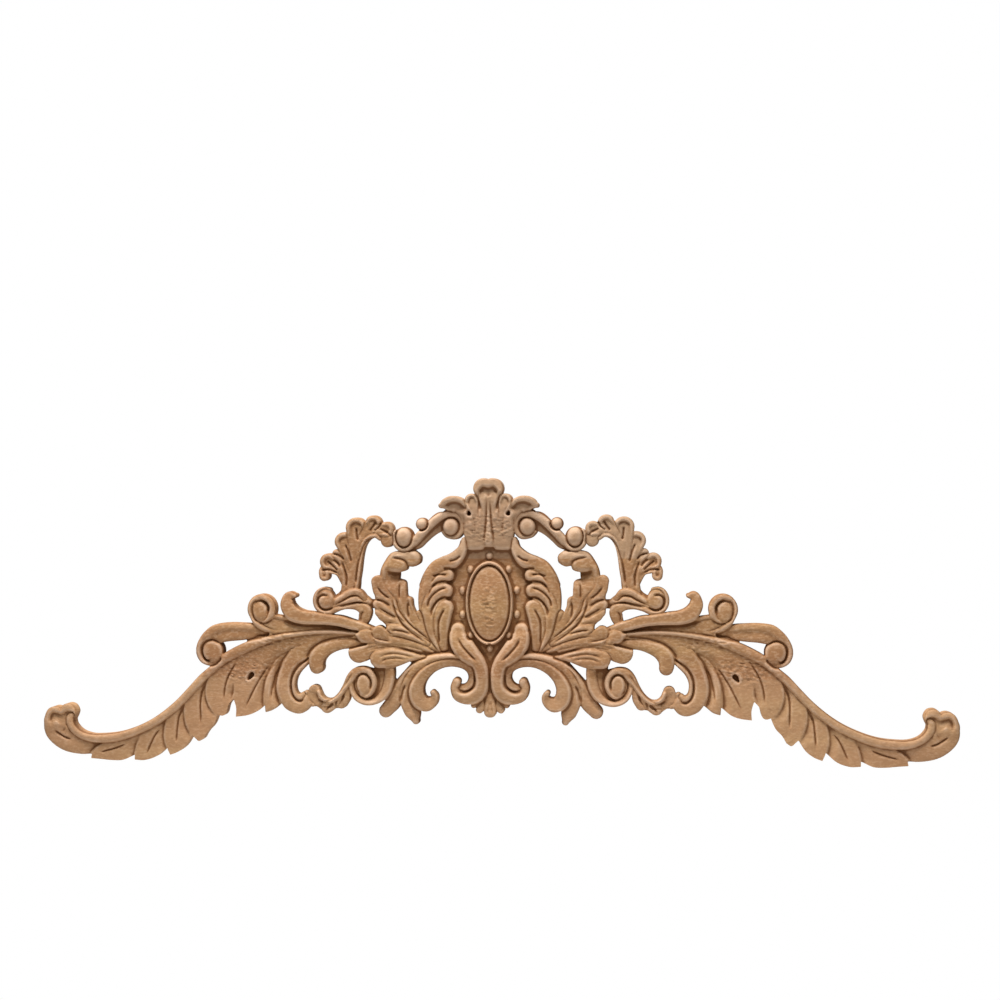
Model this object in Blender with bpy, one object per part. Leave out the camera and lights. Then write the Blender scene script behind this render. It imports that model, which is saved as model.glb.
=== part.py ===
"""Carved wood pediment applique: a pierced relief, symmetric about its middle.

The right half is laid out in millimetres as a height field over the flat back, in the order a
carver would block it out: grounds first, then leaves, scrolls and bands laid over them. A form is
a row of stations along its spine, each (x, z, half width, height above the back). The field is
contoured into one closed solid, mirrored about x = 0.

Frame: X along the width, Z up, flat back in the plane y = 0, carving towards -Y, origin behind the
middle of the oval cabochon.
"""
import math

import bmesh
import bpy
import numpy as np

MM = 0.001

# Driving dimensions, in millimetres
HALF_WIDTH = 400.0
TOP = 107.0
BOTTOM = -141.0
THICKNESS = 20.0
GROUND = 8.0            # recessed ground round the cabochon
WING_SHEET = 10.5       # plain sheet of the wing, from which the feathers grow
FEATHER_SHADE = 2.1     # depth of the hollow beside a feather's edge
EDGE_ROUND = 1.1        # rounding of every form's edge
COVE_WALL = 1.5         # run of the wall of a hollow
THINNEST = 3.0          # the carving is never thinner than this

# Size of the oval cabochon, and of the rim round it
CABOCHON = (17.8, 32.8)
CABOCHON_RIM = (20.2, 35.5)
CABOCHON_Z = -1.6

# Solid
GRID_STEP = 1.0         # spacing of the height field
STEP_WIDTH = 1.3        # run of the steep step from one form down to the next
TRIANGLES = 9800
WOOD_COLOUR = (0.455, 0.262, 0.153)


def smoothstep(value):
    t = np.clip(value, 0.0, 1.0)
    return t * t * (3.0 - 2.0 * t)


def smooth_path(points, spans=6, closed=False):
    """A smooth curve through the points, which may have any number of columns."""
    p = np.asarray(points, float)
    if len(p) < 3 and not closed:
        t = np.linspace(0.0, 1.0, spans + 1)[:, None]
        return p[0] * (1.0 - t) + p[-1] * t
    if closed:
        p = np.vstack([p[-1], p, p[0], p[1]])
    else:
        p = np.vstack([2 * p[0] - p[1], p, 2 * p[-1] - p[-2]])
    t = np.linspace(0.0, 1.0, spans, endpoint=False)[:, None]
    pieces = []
    for a, b, c, d in zip(p[:-3], p[1:-2], p[2:-1], p[3:]):
        pieces.append(0.5 * (2 * b + (c - a) * t + (2 * a - 5 * b + 4 * c - d) * t ** 2
                             + (3 * b - 3 * c + d - a) * t ** 3))
    pieces.append(p[-2:-1])
    return np.vstack(pieces)


def arc_stations(centre, radii, start, end, shrink=1.0, half_width=(2.0, 2.0), height=(12, 12)):
    """Stations on an elliptic spiral from one angle to another, in degrees from +X to +Z."""
    count = max(4, int(abs(end - start) / 30.0) + 1)
    stations = []
    for t in np.linspace(0.0, 1.0, count):
        angle = math.radians(start + (end - start) * t)
        scale = 1.0 + (shrink - 1.0) * t
        stations.append((centre[0] + radii[0] * scale * math.cos(angle),
                         centre[1] + radii[1] * scale * math.sin(angle),
                         half_width[0] + (half_width[1] - half_width[0]) * t,
                         height[0] + (height[1] - height[0]) * t))
    return stations


class Relief:
    """Height field of the right half, in millimetres."""

    def __init__(self, step):
        self.step = step
        self.x = np.arange(0.0, HALF_WIDTH + 4 * step, step)
        self.z = np.arange(BOTTOM - 4 * step, TOP + 4 * step, step)
        size = (len(self.z), len(self.x))
        self.height = np.zeros(size)
        self.cover = np.zeros(size)
        self.edge = np.full(size, -10.0)

    def window(self, path, margin):
        """Cells round a path, with their x and z."""
        low = path[:, :2].min(axis=0) - margin
        high = path[:, :2].max(axis=0) + margin
        columns = slice(*np.searchsorted(self.x, (low[0], high[0])))
        rows = slice(*np.searchsorted(self.z, (low[1], high[1])))
        x, z = np.meshgrid(self.x[columns], self.z[rows])
        return (rows, columns), x, z

    def nearest(self, path, x, z):
        """Distance to a path, share along it, and signed offset to its left."""
        best = np.full(x.shape, 1e9)
        share = np.zeros(x.shape)
        side = np.zeros(x.shape)
        lengths = np.hypot(*np.diff(path[:, :2], axis=0).T)
        run = np.concatenate([[0.0], np.cumsum(lengths)])
        for k, (a, b) in enumerate(zip(path[:-1, :2], path[1:, :2])):
            d = b - a
            long = max(lengths[k], 1e-9)
            t = np.clip(((x - a[0]) * d[0] + (z - a[1]) * d[1]) / long ** 2, 0.0, 1.0)
            dist = np.hypot(x - a[0] - t * d[0], z - a[1] - t * d[1])
            offset = (d[0] * (z - a[1]) - d[1] * (x - a[0])) / long
            closer = dist < best
            best = np.where(closer, dist, best)
            side = np.where(closer, offset, side)
            share = np.where(closer, run[k] + t * long, share)
        return best, share, side, run

    def lay(self, cells, edge, height, fade=1.0):
        """Lays a form over what is there. edge is the distance inside its outline."""
        over = smoothstep(1.0 + edge / STEP_WIDTH) * fade
        below = self.cover[cells]
        total = over + (1.0 - over) * below
        mixed = over * height + (1.0 - over) * below * self.height[cells]
        self.height[cells] = np.where(total > 1e-6, mixed / np.maximum(total, 1e-6), 0.0)
        self.cover[cells] = total
        self.edge[cells] = np.maximum(self.edge[cells], edge)

    def stroke(self, stations, crown=2.0, dish=0.0, tilt=0.0, emerge=0.0, lip=0.0, scoop=0.0):
        """A band, blade or lobe. crown rounds it over, dish hollows it along its length, tilt
        lifts its left side, and emerge is the length over which it grows out of what lies under
        its start. scoop is the depth of the hollow behind a rolled lip at its far end."""
        path = smooth_path(stations)
        margin = path[:, 2].max() + 2 * STEP_WIDTH
        cells, x, z = self.window(path, margin)
        dist, share, side, run = self.nearest(path, x, z)
        width = np.interp(share, run, path[:, 2])
        u = np.clip(dist / width, 0.0, 1.0)
        height = np.interp(share, run, path[:, 3])
        height = height - crown * (1.0 - np.sqrt(1.0 - 0.96 * u * u))
        height = height - dish * (1.0 - u * u) ** 1.5
        height = height + tilt * np.clip(side / width, -1.0, 1.0)
        edge = width - dist
        if scoop:
            height = height - scoop * self.lobe_hollow(path, lip, x, z)
        height = height - round_over(edge)
        fade = smoothstep(share / emerge) if emerge else 1.0
        self.lay(cells, edge, height, fade)

    def lobe_hollow(self, path, lip, x, z):
        """Share of a hollow behind the rolled lip at a path's end: full under the lip, then
        running out towards the root and the flanks."""
        tip, before = path[-1], path[-3]
        ahead = (tip[:2] - before[:2]) / np.hypot(*(tip[:2] - before[:2]))
        reach = tip[2] - lip
        forward = (x - tip[0]) * ahead[0] + (z - tip[1]) * ahead[1]
        aside = (z - tip[1]) * ahead[0] - (x - tip[0]) * ahead[1]
        bow = np.sqrt(np.clip(1.0 - (aside / reach) ** 2, 0.0, 1.0))
        behind = reach * bow - forward
        runout = 1.0 - smoothstep(behind / (2.2 * tip[2]))
        return smoothstep(behind / COVE_WALL) * runout * smoothstep(bow / 0.9)

    def panel(self, stretches, height, pillow=1.0, reach=6.0, ramp=None, root=None, crisp=False):
        """A sheet inside an outline of smooth stretches that meet in corners. ramp is two points
        (x, z, extra height), between which the sheet rises or falls. root is two points, between
        which the sheet grows out of what lies under it. A crisp sheet has no rounded edge."""
        pieces = [smooth_path(stretch)[:-1] for stretch in stretches]
        path = np.vstack(pieces + [pieces[0][:1]])
        cells, x, z = self.window(path, 2 * STEP_WIDTH)
        dist, _, _, _ = self.nearest(path, x, z)
        inside = np.zeros(x.shape, bool)
        for a, b in zip(path[:-1], path[1:]):
            crosses = (a[1] > z) != (b[1] > z)
            rise = np.where(crosses, b[1] - a[1], 1.0)
            inside ^= crosses & (x < a[0] + (z - a[1]) * (b[0] - a[0]) / rise)
        edge = np.where(inside, dist, -dist)
        surface = height - pillow * (1.0 - np.clip(edge / reach, 0.0, 1.0)) ** 2
        if not crisp:
            surface = surface - round_over(edge)
        if ramp:
            (x0, z0, h0), (x1, z1, h1) = ramp
            surface = surface + h0 + (h1 - h0) * self.between(x, z, (x0, z0), (x1, z1))
        self.lay(cells, edge, surface, self.between(x, z, *root) if root else 1.0)

    def between(self, x, z, start, end):
        """0 at the start point, 1 at the end point, level across that line."""
        along = (end[0] - start[0], end[1] - start[1])
        long = along[0] ** 2 + along[1] ** 2
        return smoothstep(((x - start[0]) * along[0] + (z - start[1]) * along[1]) / long)

    def dome(self, x0, z0, rx, rz, base, rise, bulge=2.0):
        """A ball or boss on a short stem. A bulge above 2 makes it flatter on top."""
        ring = np.array([(x0 - rx, z0 - rz), (x0 + rx, z0 + rz)])
        cells, x, z = self.window(ring, 2 * STEP_WIDTH)
        u = np.hypot((x - x0) / rx, (z - z0) / rz)
        height = base + rise * np.sqrt(np.clip(1.0 - u ** bulge, 0.0, 1.0))
        self.lay(cells, (1.0 - u) * min(rx, rz), height)

    def groove(self, points, depth, half_width, taper=0.25):
        """A V cut along a line, running out at both ends."""
        path = smooth_path(points)
        cells, x, z = self.window(path, half_width + self.step)
        dist, share, _, run = self.nearest(path, x, z)
        t = share / run[-1]
        strength = smoothstep(t / taper) * smoothstep((1.0 - t) / taper)
        cut = depth * strength * np.clip(1.0 - dist / half_width, 0.0, 1.0)
        self.height[cells] = self.height[cells] - cut

    def cove(self, points, depth, reach, taper=0.2, wall=COVE_WALL):
        """A hollow cut on the right of a line: its wall stands on the line, and its floor rises
        back over the reach. It runs out at both ends."""
        path = smooth_path(points)
        cells, x, z = self.window(path, reach + self.step)
        dist, share, side, run = self.nearest(path, x, z)
        t = share / run[-1]
        strength = smoothstep(t / taper) * smoothstep((1.0 - t) / taper)
        away = np.where(side < 0.0, dist, 0.0)
        profile = smoothstep(away / wall) * (1.0 - smoothstep(away / reach))
        self.height[cells] = self.height[cells] - depth * strength * profile

    def pit(self, x0, z0, length, half_width, angle, floor):
        """A drop-shaped drilled eye, blind, its narrow end down the angle in degrees."""
        turn = math.radians(angle)
        reach = length + half_width
        box = np.array([(x0 - reach, z0 - reach), (x0 + reach, z0 + reach)])
        cells, x, z = self.window(box, self.step)
        along = ((x - x0) * math.cos(turn) + (z - z0) * math.sin(turn)) / length
        across = (-(x - x0) * math.sin(turn) + (z - z0) * math.cos(turn)) / half_width
        u = np.hypot(along, across * (1.0 + 0.45 * along))
        deep = smoothstep((1.15 - u) / 0.4)
        self.height[cells] = self.height[cells] * (1.0 - deep) + floor * deep


def round_over(edge):
    """How far a form's surface has dropped at this distance inside its outline."""
    t = 1.0 - np.clip(edge / EDGE_ROUND, 0.0, 1.0)
    return EDGE_ROUND * (1.0 - np.sqrt(1.0 - 0.98 * t * t))


def carve_grounds(r):
    """Recessed grounds that join the leaves and scrolls."""
    r.panel([[(0, 52), (20, 52)], [(20, 52), (30, 40), (46, 28), (54, 10), (54, -10), (48, -30)],
             [(48, -30), (40, -47), (28, -50)], [(28, -50), (15, -58), (12, -70), (6, -86)],
             [(6, -86), (0, -88)], [(0, -88), (-3, 0), (0, 52)]], GROUND, pillow=0)
    r.panel([[(86, -52), (103.6, -51)], [(103.6, -51), (102.4, -59.6)],
             [(102.4, -59.6), (110, -58.5), (121, -63), (124, -76), (117, -86), (104, -88.5), (94, -85),
              (88, -76), (86, -62), (86, -52)]], 6.5, pillow=0, ramp=((91, -66, 2.6), (100, -64, 0.0)))
    r.stroke([(84.6, -69.4, 1.6, 8), (88, -78, 2.4, 8)], crown=0)
    r.stroke([(14.6, -58, 1.8, 9), (13, -68, 1.8, 9), (15, -76, 2, 9), (22, -79.6, 2, 9),
              (28, -76.4, 2, 9)], crown=0)
    r.stroke([(44, -46, 2.4, 9), (62, -43.4, 3.6, 9), (80, -39.6, 4, 10), (96, -38, 4, 11)], crown=0)
    r.stroke([(58, -49.6, 1.6, 8), (67.6, -53, 2.2, 8)], crown=0)
    r.stroke([(66, -53.4, 2.0, 8), (74.6, -63, 2.0, 8), (81.8, -71, 2.0, 8)], crown=0)
    r.stroke([(79, 50, 3, 9), (84, 57.6, 3.2, 9)], crown=0)
    r.stroke([(66, 42, 2.4, 9), (74, 44.4, 2.4, 9)], crown=0)
    r.stroke([(178, -28.4, 1.6, 9), (186, -28.9, 1.8, 9), (200, -31, 1.8, 9), (214, -34.6, 1.6, 9)],
             crown=0)
    r.stroke([(30, 79.6, 1.8, 9), (38.2, 77.8, 1.8, 9)], crown=0)
    r.stroke([(97, -2.4, 3.6, 8), (103, -2.5, 3.9, 7.5), (109, -2.4, 3.9, 8)], crown=0.6)
    for x, z, rx, rz in ((32.6, 66, 10.8, 11.6), (75, 55, 9, 10), (202, -7.4, 11, 12),
                         (247.2, -44, 10.6, 10.8), (146, 0.8, 9.4, 11)):
        r.dome(x, z, rx, rz, 7.5, 0)
    r.panel([[(112, -30), (140, -27.6), (166, -28), (192, -32.6), (216, -41.6), (240, -56),
              (258, -71), (275, -90), (292, -103), (312, -114), (335, -122), (353, -126)],
             [(353, -126), (345, -134)],
             [(345, -134), (325, -130), (305, -126), (285, -118), (262, -104), (240, -92),
              (228, -84), (200, -82), (181, -76), (172, -57), (160, -47), (140, -36), (112, -33)],
             [(112, -33), (112, -30)]], WING_SHEET, pillow=0)
    r.panel([[(112, -25.4), (128, -21.5), (146, -18.6), (164, -17.6), (177, -15.2)],
             [(177, -15.2), (186, -13.2), (194, -12.4)], [(194, -12.4), (206, -18), (207, -24)],
             [(207, -24), (212, -32.4), (204, -31), (186, -28.5), (165, -27), (139, -26.4), (112, -27.6)],
             [(112, -27.6), (112, -25.4)]], 11.5, pillow=0, ramp=((112, -24, -4.5), (176, -22, 0.0)))
    r.cove([(118, -23.4), (128, -21.6), (143, -19.4), (160, -18.8), (171, -18), (178.4, -15.2),
            (184, -12)], 3.4, 7.0, taper=0.12)


def carve_palmette(r):
    """Small leaf that hangs between the two lower scrolls."""
    r.stroke([(2, -82, 4, 8), (8, -88, 3.2, 9), (14.6, -91, 2.3, 9)], crown=1)
    r.stroke([(1, -84, 4, 8), (5, -90, 4, 10), (9.3, -94.6, 3.2, 10)], crown=1.2)
    r.stroke([(0, -84, 4.5, 9), (0, -92, 5, 11), (0.6, -96.6, 4.7, 11)], crown=1.5)
    r.groove([(0.5, -86), (1.0, -92), (3.0, -98)], 1.2, 1.3)


def carve_lower_leaf(r):
    """Big leaf that curls in below: two blades, then the hooked band over them."""
    r.stroke([(23, -50, 1.3, 14), (32, -48, 2.5, 15), (42, -48.3, 2.9, 15), (52, -51, 3.8, 14.5),
              (60.8, -55.8, 4.6, 13.5), (70.6, -63.6, 5.0, 12.5), (78, -73.8, 5.2, 11),
              (84.6, -87.4, 6.7, 10), (92.2, -96.2, 6.0, 9.5)], crown=3)
    r.stroke([(60, -56, 4, 13), (69, -67, 5, 12), (74, -79, 5.2, 11), (73.2, -88.5, 5.7, 10.5),
              (68.2, -97.4, 6.7, 10), (65.4, -104.8, 3.2, 9)], crown=3, tilt=1.5, emerge=16)
    r.groove([(73.5, -71), (77, -79), (79, -89)], 3.0, 2.0)
    r.cove([(80, -72), (86, -80), (91.6, -88), (95.4, -95)], 1.4, 7.5, taper=0.3, wall=2.6)
    r.stroke([(27.5, -74.6, 1.9, 11), (22, -75.2, 3.1, 11.5), (17.6, -72, 3.3, 12),
              (16.1, -66, 2.8, 12.5), (17.6, -60, 3.2, 13), (22.3, -55.6, 3.7, 13.5),
              (30, -53.6, 3.6, 14), (38, -53.8, 3.6, 14.5), (46, -56, 4.0, 15),
              (54, -60.8, 4.5, 15), (60.8, -68.4, 5.2, 15), (64.2, -78, 6.4, 14.5),
              (62, -86.3, 6.8, 13.5), (56, -89.7, 6.6, 12.5), (50.6, -87.3, 4.9, 12),
              (48.6, -83, 3.3, 12.5), (50.2, -79.8, 2.3, 13)], crown=2.6, dish=0.8, tilt=1.0)


def carve_lower_scroll(r):
    """S scroll below the cabochon, with one long vein."""
    r.stroke([(27.8, -25.2, 6.0, 14), (27.6, -30, 7.4, 15.4), (25.4, -36.4, 8.8, 16.4),
              (20.4, -42.8, 8.9, 17), (14.6, -48.4, 7.4, 17),
              (9.8, -53.5, 6.0, 16.5), (7.1, -61, 5.8, 16), (6.7, -69.5, 5.8, 15.5),
              (8.4, -77.4, 6.1, 15), (13.4, -82.8, 6.2, 14.5), (21.2, -84.6, 5.1, 14),
              (28.3, -82, 4.5, 13.5), (31.2, -75.6, 3.4, 13), (29.2, -70.2, 3.7, 13.5)],
             crown=2.4, tilt=0.8)
    r.groove([(27.4, -30.5), (26, -34.4), (22.8, -39.5), (17.9, -45), (13.5, -49.4), (9.6, -53)],
             2.6, 1.4)
    r.groove([(13.4, -62), (12.9, -73), (17.5, -77.8), (22.5, -79.6), (27, -78.3), (28.6, -75)],
             3.0, 1.6)


def carve_frame_leaf(r):
    """Leaf that frames the cabochon: one curved sheet, its fingers turned inwards."""
    r.panel([[(21.8, 53), (22, 45), (26, 38.5), (33, 33.5), (37, 28)],
             [(37, 28), (37.4, 16), (37.8, 4), (37.4, -8), (36.8, -30), (37.4, -42.4)],
             [(37.4, -42.4), (44, -44)], [(44, -44), (51, -37), (57, -25), (61.4, -10), (62.4, 3),
              (60.8, 14), (56.4, 22), (49.2, 30.2), (41.3, 36.6), (33.4, 41.2), (27.4, 46.6),
              (25, 53)],
             [(25.2, 53), (21.8, 53)]], 13.6, pillow=1.4, reach=9)
    r.stroke([(40.6, -41, 3.0, 11.5), (41.2, -34, 4.6, 12.6), (42.2, -25, 6.4, 13.6),
              (41.2, -14, 7.2, 14.2), (38.4, -5.6, 6.6, 14.4)], crown=1.2)
    r.stroke([(57, -14, 3, 12.5), (54.5, -4, 4.6, 13.4), (50, 4, 5.6, 14), (44.6, 8.4, 6.0, 14.4),
              (38.4, 9.4, 5.9, 14.4)], crown=1.1, emerge=10)
    r.stroke([(58, 2, 3, 12.8), (54.5, 13, 4.2, 13.6), (49, 20, 4.9, 14.4), (43, 22.6, 5.3, 14.6),
              (36.6, 23, 5.3, 14.6)], crown=1.1, emerge=10)
    r.stroke([(57, 14, 4.4, 13.4), (53, 22, 5.0, 14), (47, 29.4, 5.6, 14.6), (40, 33, 6.0, 15),
              (32.2, 35.6, 6.4, 15.2), (26.6, 40.6, 5.4, 15), (22.8, 47, 3.7, 14.4),
              (21.8, 53.5, 2.4, 13.4)], crown=1.3, emerge=10)
    for step in (
            [(30, 27.8), (35, 29), (40.5, 28.6)],
            [(30, 17.0), (37, 17.9), (40.8, 17.7), (45.2, 16.8), (49, 14), (51, 11)],
            [(32, 2.6), (38.6, 4.0), (43, 2.3), (47.3, -2), (50.1, -7.5), (51.4, -15)]):
        r.groove(step, 2.8, 1.5, taper=0.18)
    for vein in (
            [(36.8, 23.2), (43, 23.5), (50, 22)],
            [(36.6, 11.4), (41, 11.2), (46, 8.6), (50, 5.0), (53, 0.6), (54.4, -6)],
            [(38.6, -5.6), (42, -11.6), (44.4, -18), (44.7, -27), (44, -38)],
            [(24.8, 40), (28.8, 36.8), (34.8, 35)]):
        r.groove(vein, 2.7, 1.3, taper=0.14)


def carve_cabochon(r):
    """Rim, sunk line and domed oval, with beads round it."""
    r.dome(0, CABOCHON_Z, CABOCHON_RIM[0], CABOCHON_RIM[1], 14.3, 0.8, bulge=5)
    r.dome(0, CABOCHON_Z, CABOCHON[0] + 0.4, CABOCHON[1] + 0.4, 11.6, 3.4, bulge=2.4)
    ring = [(CABOCHON[0] * math.sin(a), CABOCHON_Z + CABOCHON[1] * math.cos(a))
            for a in np.linspace(-0.3, math.pi + 0.3, 28)]
    r.groove(ring, 2.6, 1.3, taper=0.01)
    for x, z in ((0, 39.5), (16.6, 27.8), (23.7, 9.5), (23.7, -11.5), (16.8, -29.8), (0, -41)):
        r.dome(x, z, 2.7, 3.4, GROUND, 3.6)


def carve_crown(r):
    """Crown leaf: body with a middle rib, and three lobes a side that roll forward at the top."""
    r.panel([[(0, 47.5), (4, 47.4), (6, 45.6), (12, 45), (17, 45)], [(17, 45), (19, 46.6), (20, 53),
             (21.6, 57.6), (21.6, 62), (21, 70), (22, 80), (20, 88)], [(20, 88), (-3, 88)],
             [(-3, 88), (-3, 47.5)], [(-3, 47.5), (0, 47.5)]], 15.2, pillow=1.5,
            ramp=((0, 46, -1.2), (0, 80, 2.0)))
    r.stroke([(13, 66, 4.5, 15), (14, 79, 5, 17), (14.6, 87.8, 6.0, 18.4)], crown=1.2, emerge=18)
    r.cove([(9.4, 80), (9.8, 87), (12.2, 91.2), (15.6, 91.6), (18.4, 88.4), (18.8, 81)], 2.2, 10.0,
           taper=0.25)
    r.stroke([(17.5, 62, 4.5, 15), (19.5, 75, 5.6, 16.5), (24.8, 83, 6.3, 18), (31, 85.2, 6.7, 18.6),
              (37.4, 84.6, 5.2, 18), (41.4, 83.4, 2.3, 17)], crown=1.4, tilt=1.6, emerge=18)
    r.cove([(17.6, 76), (19.6, 83), (24, 87), (29.4, 88.4), (34, 87.8), (38, 85.8),
            (42.6, 82.2)], 4.2, 14.0, taper=0.25, wall=2.6)
    r.stroke([(0.5, 72, 4, 16), (1.6, 84, 5.4, 18), (2.6, 91, 7.8, 19), (3.8, 98, 9.1, 19.8)],
             crown=1.2, emerge=14)
    r.cove([(-10, 86), (-10.2, 93), (-9, 98), (-5, 101.6), (0, 101), (5, 101.6), (9, 98), (10.2, 93),
            (10, 86)], 4.6, 17.0, taper=0.3, wall=3.4)
    r.groove([(12.6, 95.5), (9.9, 92), (8.2, 86), (7.4, 78)], 3.0, 1.6)
    r.groove([(22, 89.5), (20.2, 85), (18.8, 78)], 2.2, 1.6)
    r.stroke([(0, 82, 0.7, 17.4), (0, 75, 1.5, 17.0), (0, 62, 2.2, 16.4), (0, 52.6, 3.6, 15.6)],
             crown=0.6, emerge=8)
    r.groove([(0.8, 94), (2.0, 78), (3.0, 64), (5.0, 49)], 1.7, 1.3)
    r.groove([(12.4, 76), (12, 66), (11.2, 56)], 0.8, 1.6, taper=0.4)
    r.pit(17.2, 77, 2.2, 1.4, 80, 8)


def carve_arm(r):
    """C scroll that springs from the crown: dish, raised rail, balls."""
    r.stroke([(37, 66.6, 5.5, 9), (41, 70, 8.2, 9), (47.5, 66.4, 7.4, 9.5), (53, 61.2, 5.8, 9.5),
              (58.5, 55.4, 5.0, 10), (64, 50.6, 5.2, 10), (70, 47, 3.4, 10)], crown=0.5)
    rail = [(40.5, 60.6, 1.3, 11), (36.6, 57, 1.8, 12)]
    rail += arc_stations((32.4, 65.8), (9.3, 10.2), 250, 80, 1.03, (2.3, 2.8), (12.5, 14))
    rail += [(39.5, 75.2, 3.1, 14.6), (45, 72.2, 3.1, 15), (50, 68.2, 3.2, 15), (55, 63.4, 3.2, 15),
             (60.5, 57.8, 3.5, 14.5), (65, 52.6, 3.4, 14)]
    rail += arc_stations((74.6, 54.6), (8.4, 9.2), 215, 400, 1.0, (2.3, 2.3), (13.5, 15))
    r.stroke(rail, crown=1.5)
    r.dome(33.4, 65, 6.9, 7.6, 10.6, 5.6, bulge=2.6)
    r.dome(59, 67.4, 5.5, 5.6, 8, 7)
    r.dome(74.8, 56, 7.2, 8.8, 10, 7, bulge=2.4)


def carve_upright_leaf(r):
    """Leaf that stands out beside the frame leaf, its tip folded over under the outer ball."""
    r.panel([[(44, -45), (54, -30), (59, -12), (62, -7.6), (66, -11)],
             [(66.5, -11), (67.6, -6), (68, -1), (70, 3), (72.6, 4.6)],
             [(72.8, 6), (73, 12), (74.2, 16.4), (77, 18.8), (79.4, 19.6)],
             [(79.4, 19.6), (79, 24), (79.6, 32), (85.6, 42)],
             [(85.6, 42), (90.4, 36.4), (94, 29.6), (95.6, 22)], [(96, 21), (101, 10), (100.5, 2)],
             [(101.4, -4), (99.8, -11.4), (94, -18), (91.4, -20.6)], [(91.4, -20.6), (90, -30)],
             [(90, -30), (72, -34), (58, -39), (44, -45)]], 12, pillow=0.8)
    r.stroke([(60, -24, 2.4, 11.4), (66, -15, 3.4, 11.8), (70.4, -6, 3.6, 12.2), (71.2, 0.3, 3.5, 12.6)],
             crown=0.8, dish=0.4, emerge=10)
    r.stroke([(68, -16, 3, 11.6), (74, -6, 4.0, 12), (76.6, 5, 4.0, 12.4), (77.2, 14.9, 4.0, 13)],
             crown=0.8, dish=0.4, emerge=12)
    r.stroke([(74, -23, 3, 11.4), (84, -15.4, 4, 12), (92, -12.8, 5.4, 12.4), (96.8, -9.6, 4, 12.4)],
             crown=0.8, emerge=8)
    r.stroke([(78, -15, 3, 11.6), (86, -9, 4.4, 12), (94, -4.6, 4.6, 12.4), (99, -2.6, 3.6, 12.2)],
             crown=0.8, emerge=8)
    r.stroke([(80, -9, 3, 11.6), (88, 1, 4.8, 12.2), (95.5, 8, 6.0, 13), (98.4, 17.2, 5.4, 13.4)],
             crown=0.8, dish=0.6, emerge=12)
    r.cove([(66, 28), (75, 27), (83, 27), (92, 27.6)], 6.0, 16.0, taper=0.4)
    r.panel([[(59.6, 38.3), (60.6, 33.6), (66.2, 30.3), (71.4, 30.8)],
             [(71.4, 30.8), (72.8, 27.4), (77.6, 25.6), (84, 25.8), (89, 26.6)],
             [(89, 26.6), (90.4, 20), (92, 12)], [(92, 12), (95.4, 12.4)],
             [(95.4, 12.4), (96.2, 22), (94.8, 29), (91, 36.2), (86.4, 42), (80, 44.2),
              (72, 44.6), (65, 43.6), (61.2, 41.2), (59.6, 38.3)]],
            14.6, pillow=2.2, reach=4.5, root=((93.6, 12), (91, 29)))
    r.groove([(71.2, 29.8), (72.8, 34.4), (76.6, 36.8), (82.3, 38), (86.4, 37.6)], 2.4, 1.5)
    r.groove([(66, 40.8), (72, 41.4), (80, 41.6), (86, 39.8)], 0.8, 1.4)
    r.stroke([(54, -37, 2.0, 11.6), (63, -32.6, 2.9, 12.4), (72, -28.4, 4.1, 13), (80, -25.4, 5.0, 13.2),
              (85.6, -24.9, 5.3, 13.2)], crown=1.2)
    for vein in (
            [(66.9, -29.8), (74.5, -26.6), (82.1, -25.2), (87.6, -25.6)],
            [(78.6, 17), (79.4, 10.0), (79.0, 1)],
            [(71.4, 0), (72.0, -7.4), (70.6, -15)],
            [(99, 13.4), (94.5, 7.4), (87, 1.6)],
            [(101.5, 2), (94, 0.4), (86, -5)],
            [(98.6, -5), (89.4, -10.2), (80, -15.4)],
            [(49, -37), (57.2, -30.4), (68.0, -21.8), (76.2, -13), (80.8, -4), (82.6, 8)],
            [(51, -39.6), (62.9, -31.4), (72, -24.6), (79.4, -16.2), (84.2, -5), (86, 7)]):
        r.groove(vein, 2.5, 1.3)


def carve_knot(r):
    """Knot of leaf ends where the wing springs."""
    r.stroke([(50, -44, 1.4, 11), (66, -38, 2.4, 12), (80, -34.8, 3.1, 12.6), (92, -33.8, 3.6, 13),
              (101, -32.2, 4.4, 13.5)], crown=0.6)
    r.panel([[(97, -29), (103, -25.6), (108, -24.4), (113.3, -25.6), (118, -29.4)],
             [(118, -29.4), (115.8, -32.8), (112.3, -35.8), (104, -36.8), (96, -36.8)],
             [(96, -36.8), (97, -29)]], 13.8, pillow=0.8, reach=4.5, root=((92, -33), (103, -31.5)))
    r.stroke([(84, -33, 2.6, 11.6), (91, -30.2, 4.4, 12.6), (97.4, -27.2, 5.9, 13.6)], crown=1.0,
             tilt=0.4, emerge=7)
    r.cove([(96.4, -35.4), (99.8, -34), (102.4, -29.6), (103.2, -25.4), (101.6, -21.6)], 1.6, 5.0)


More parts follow.
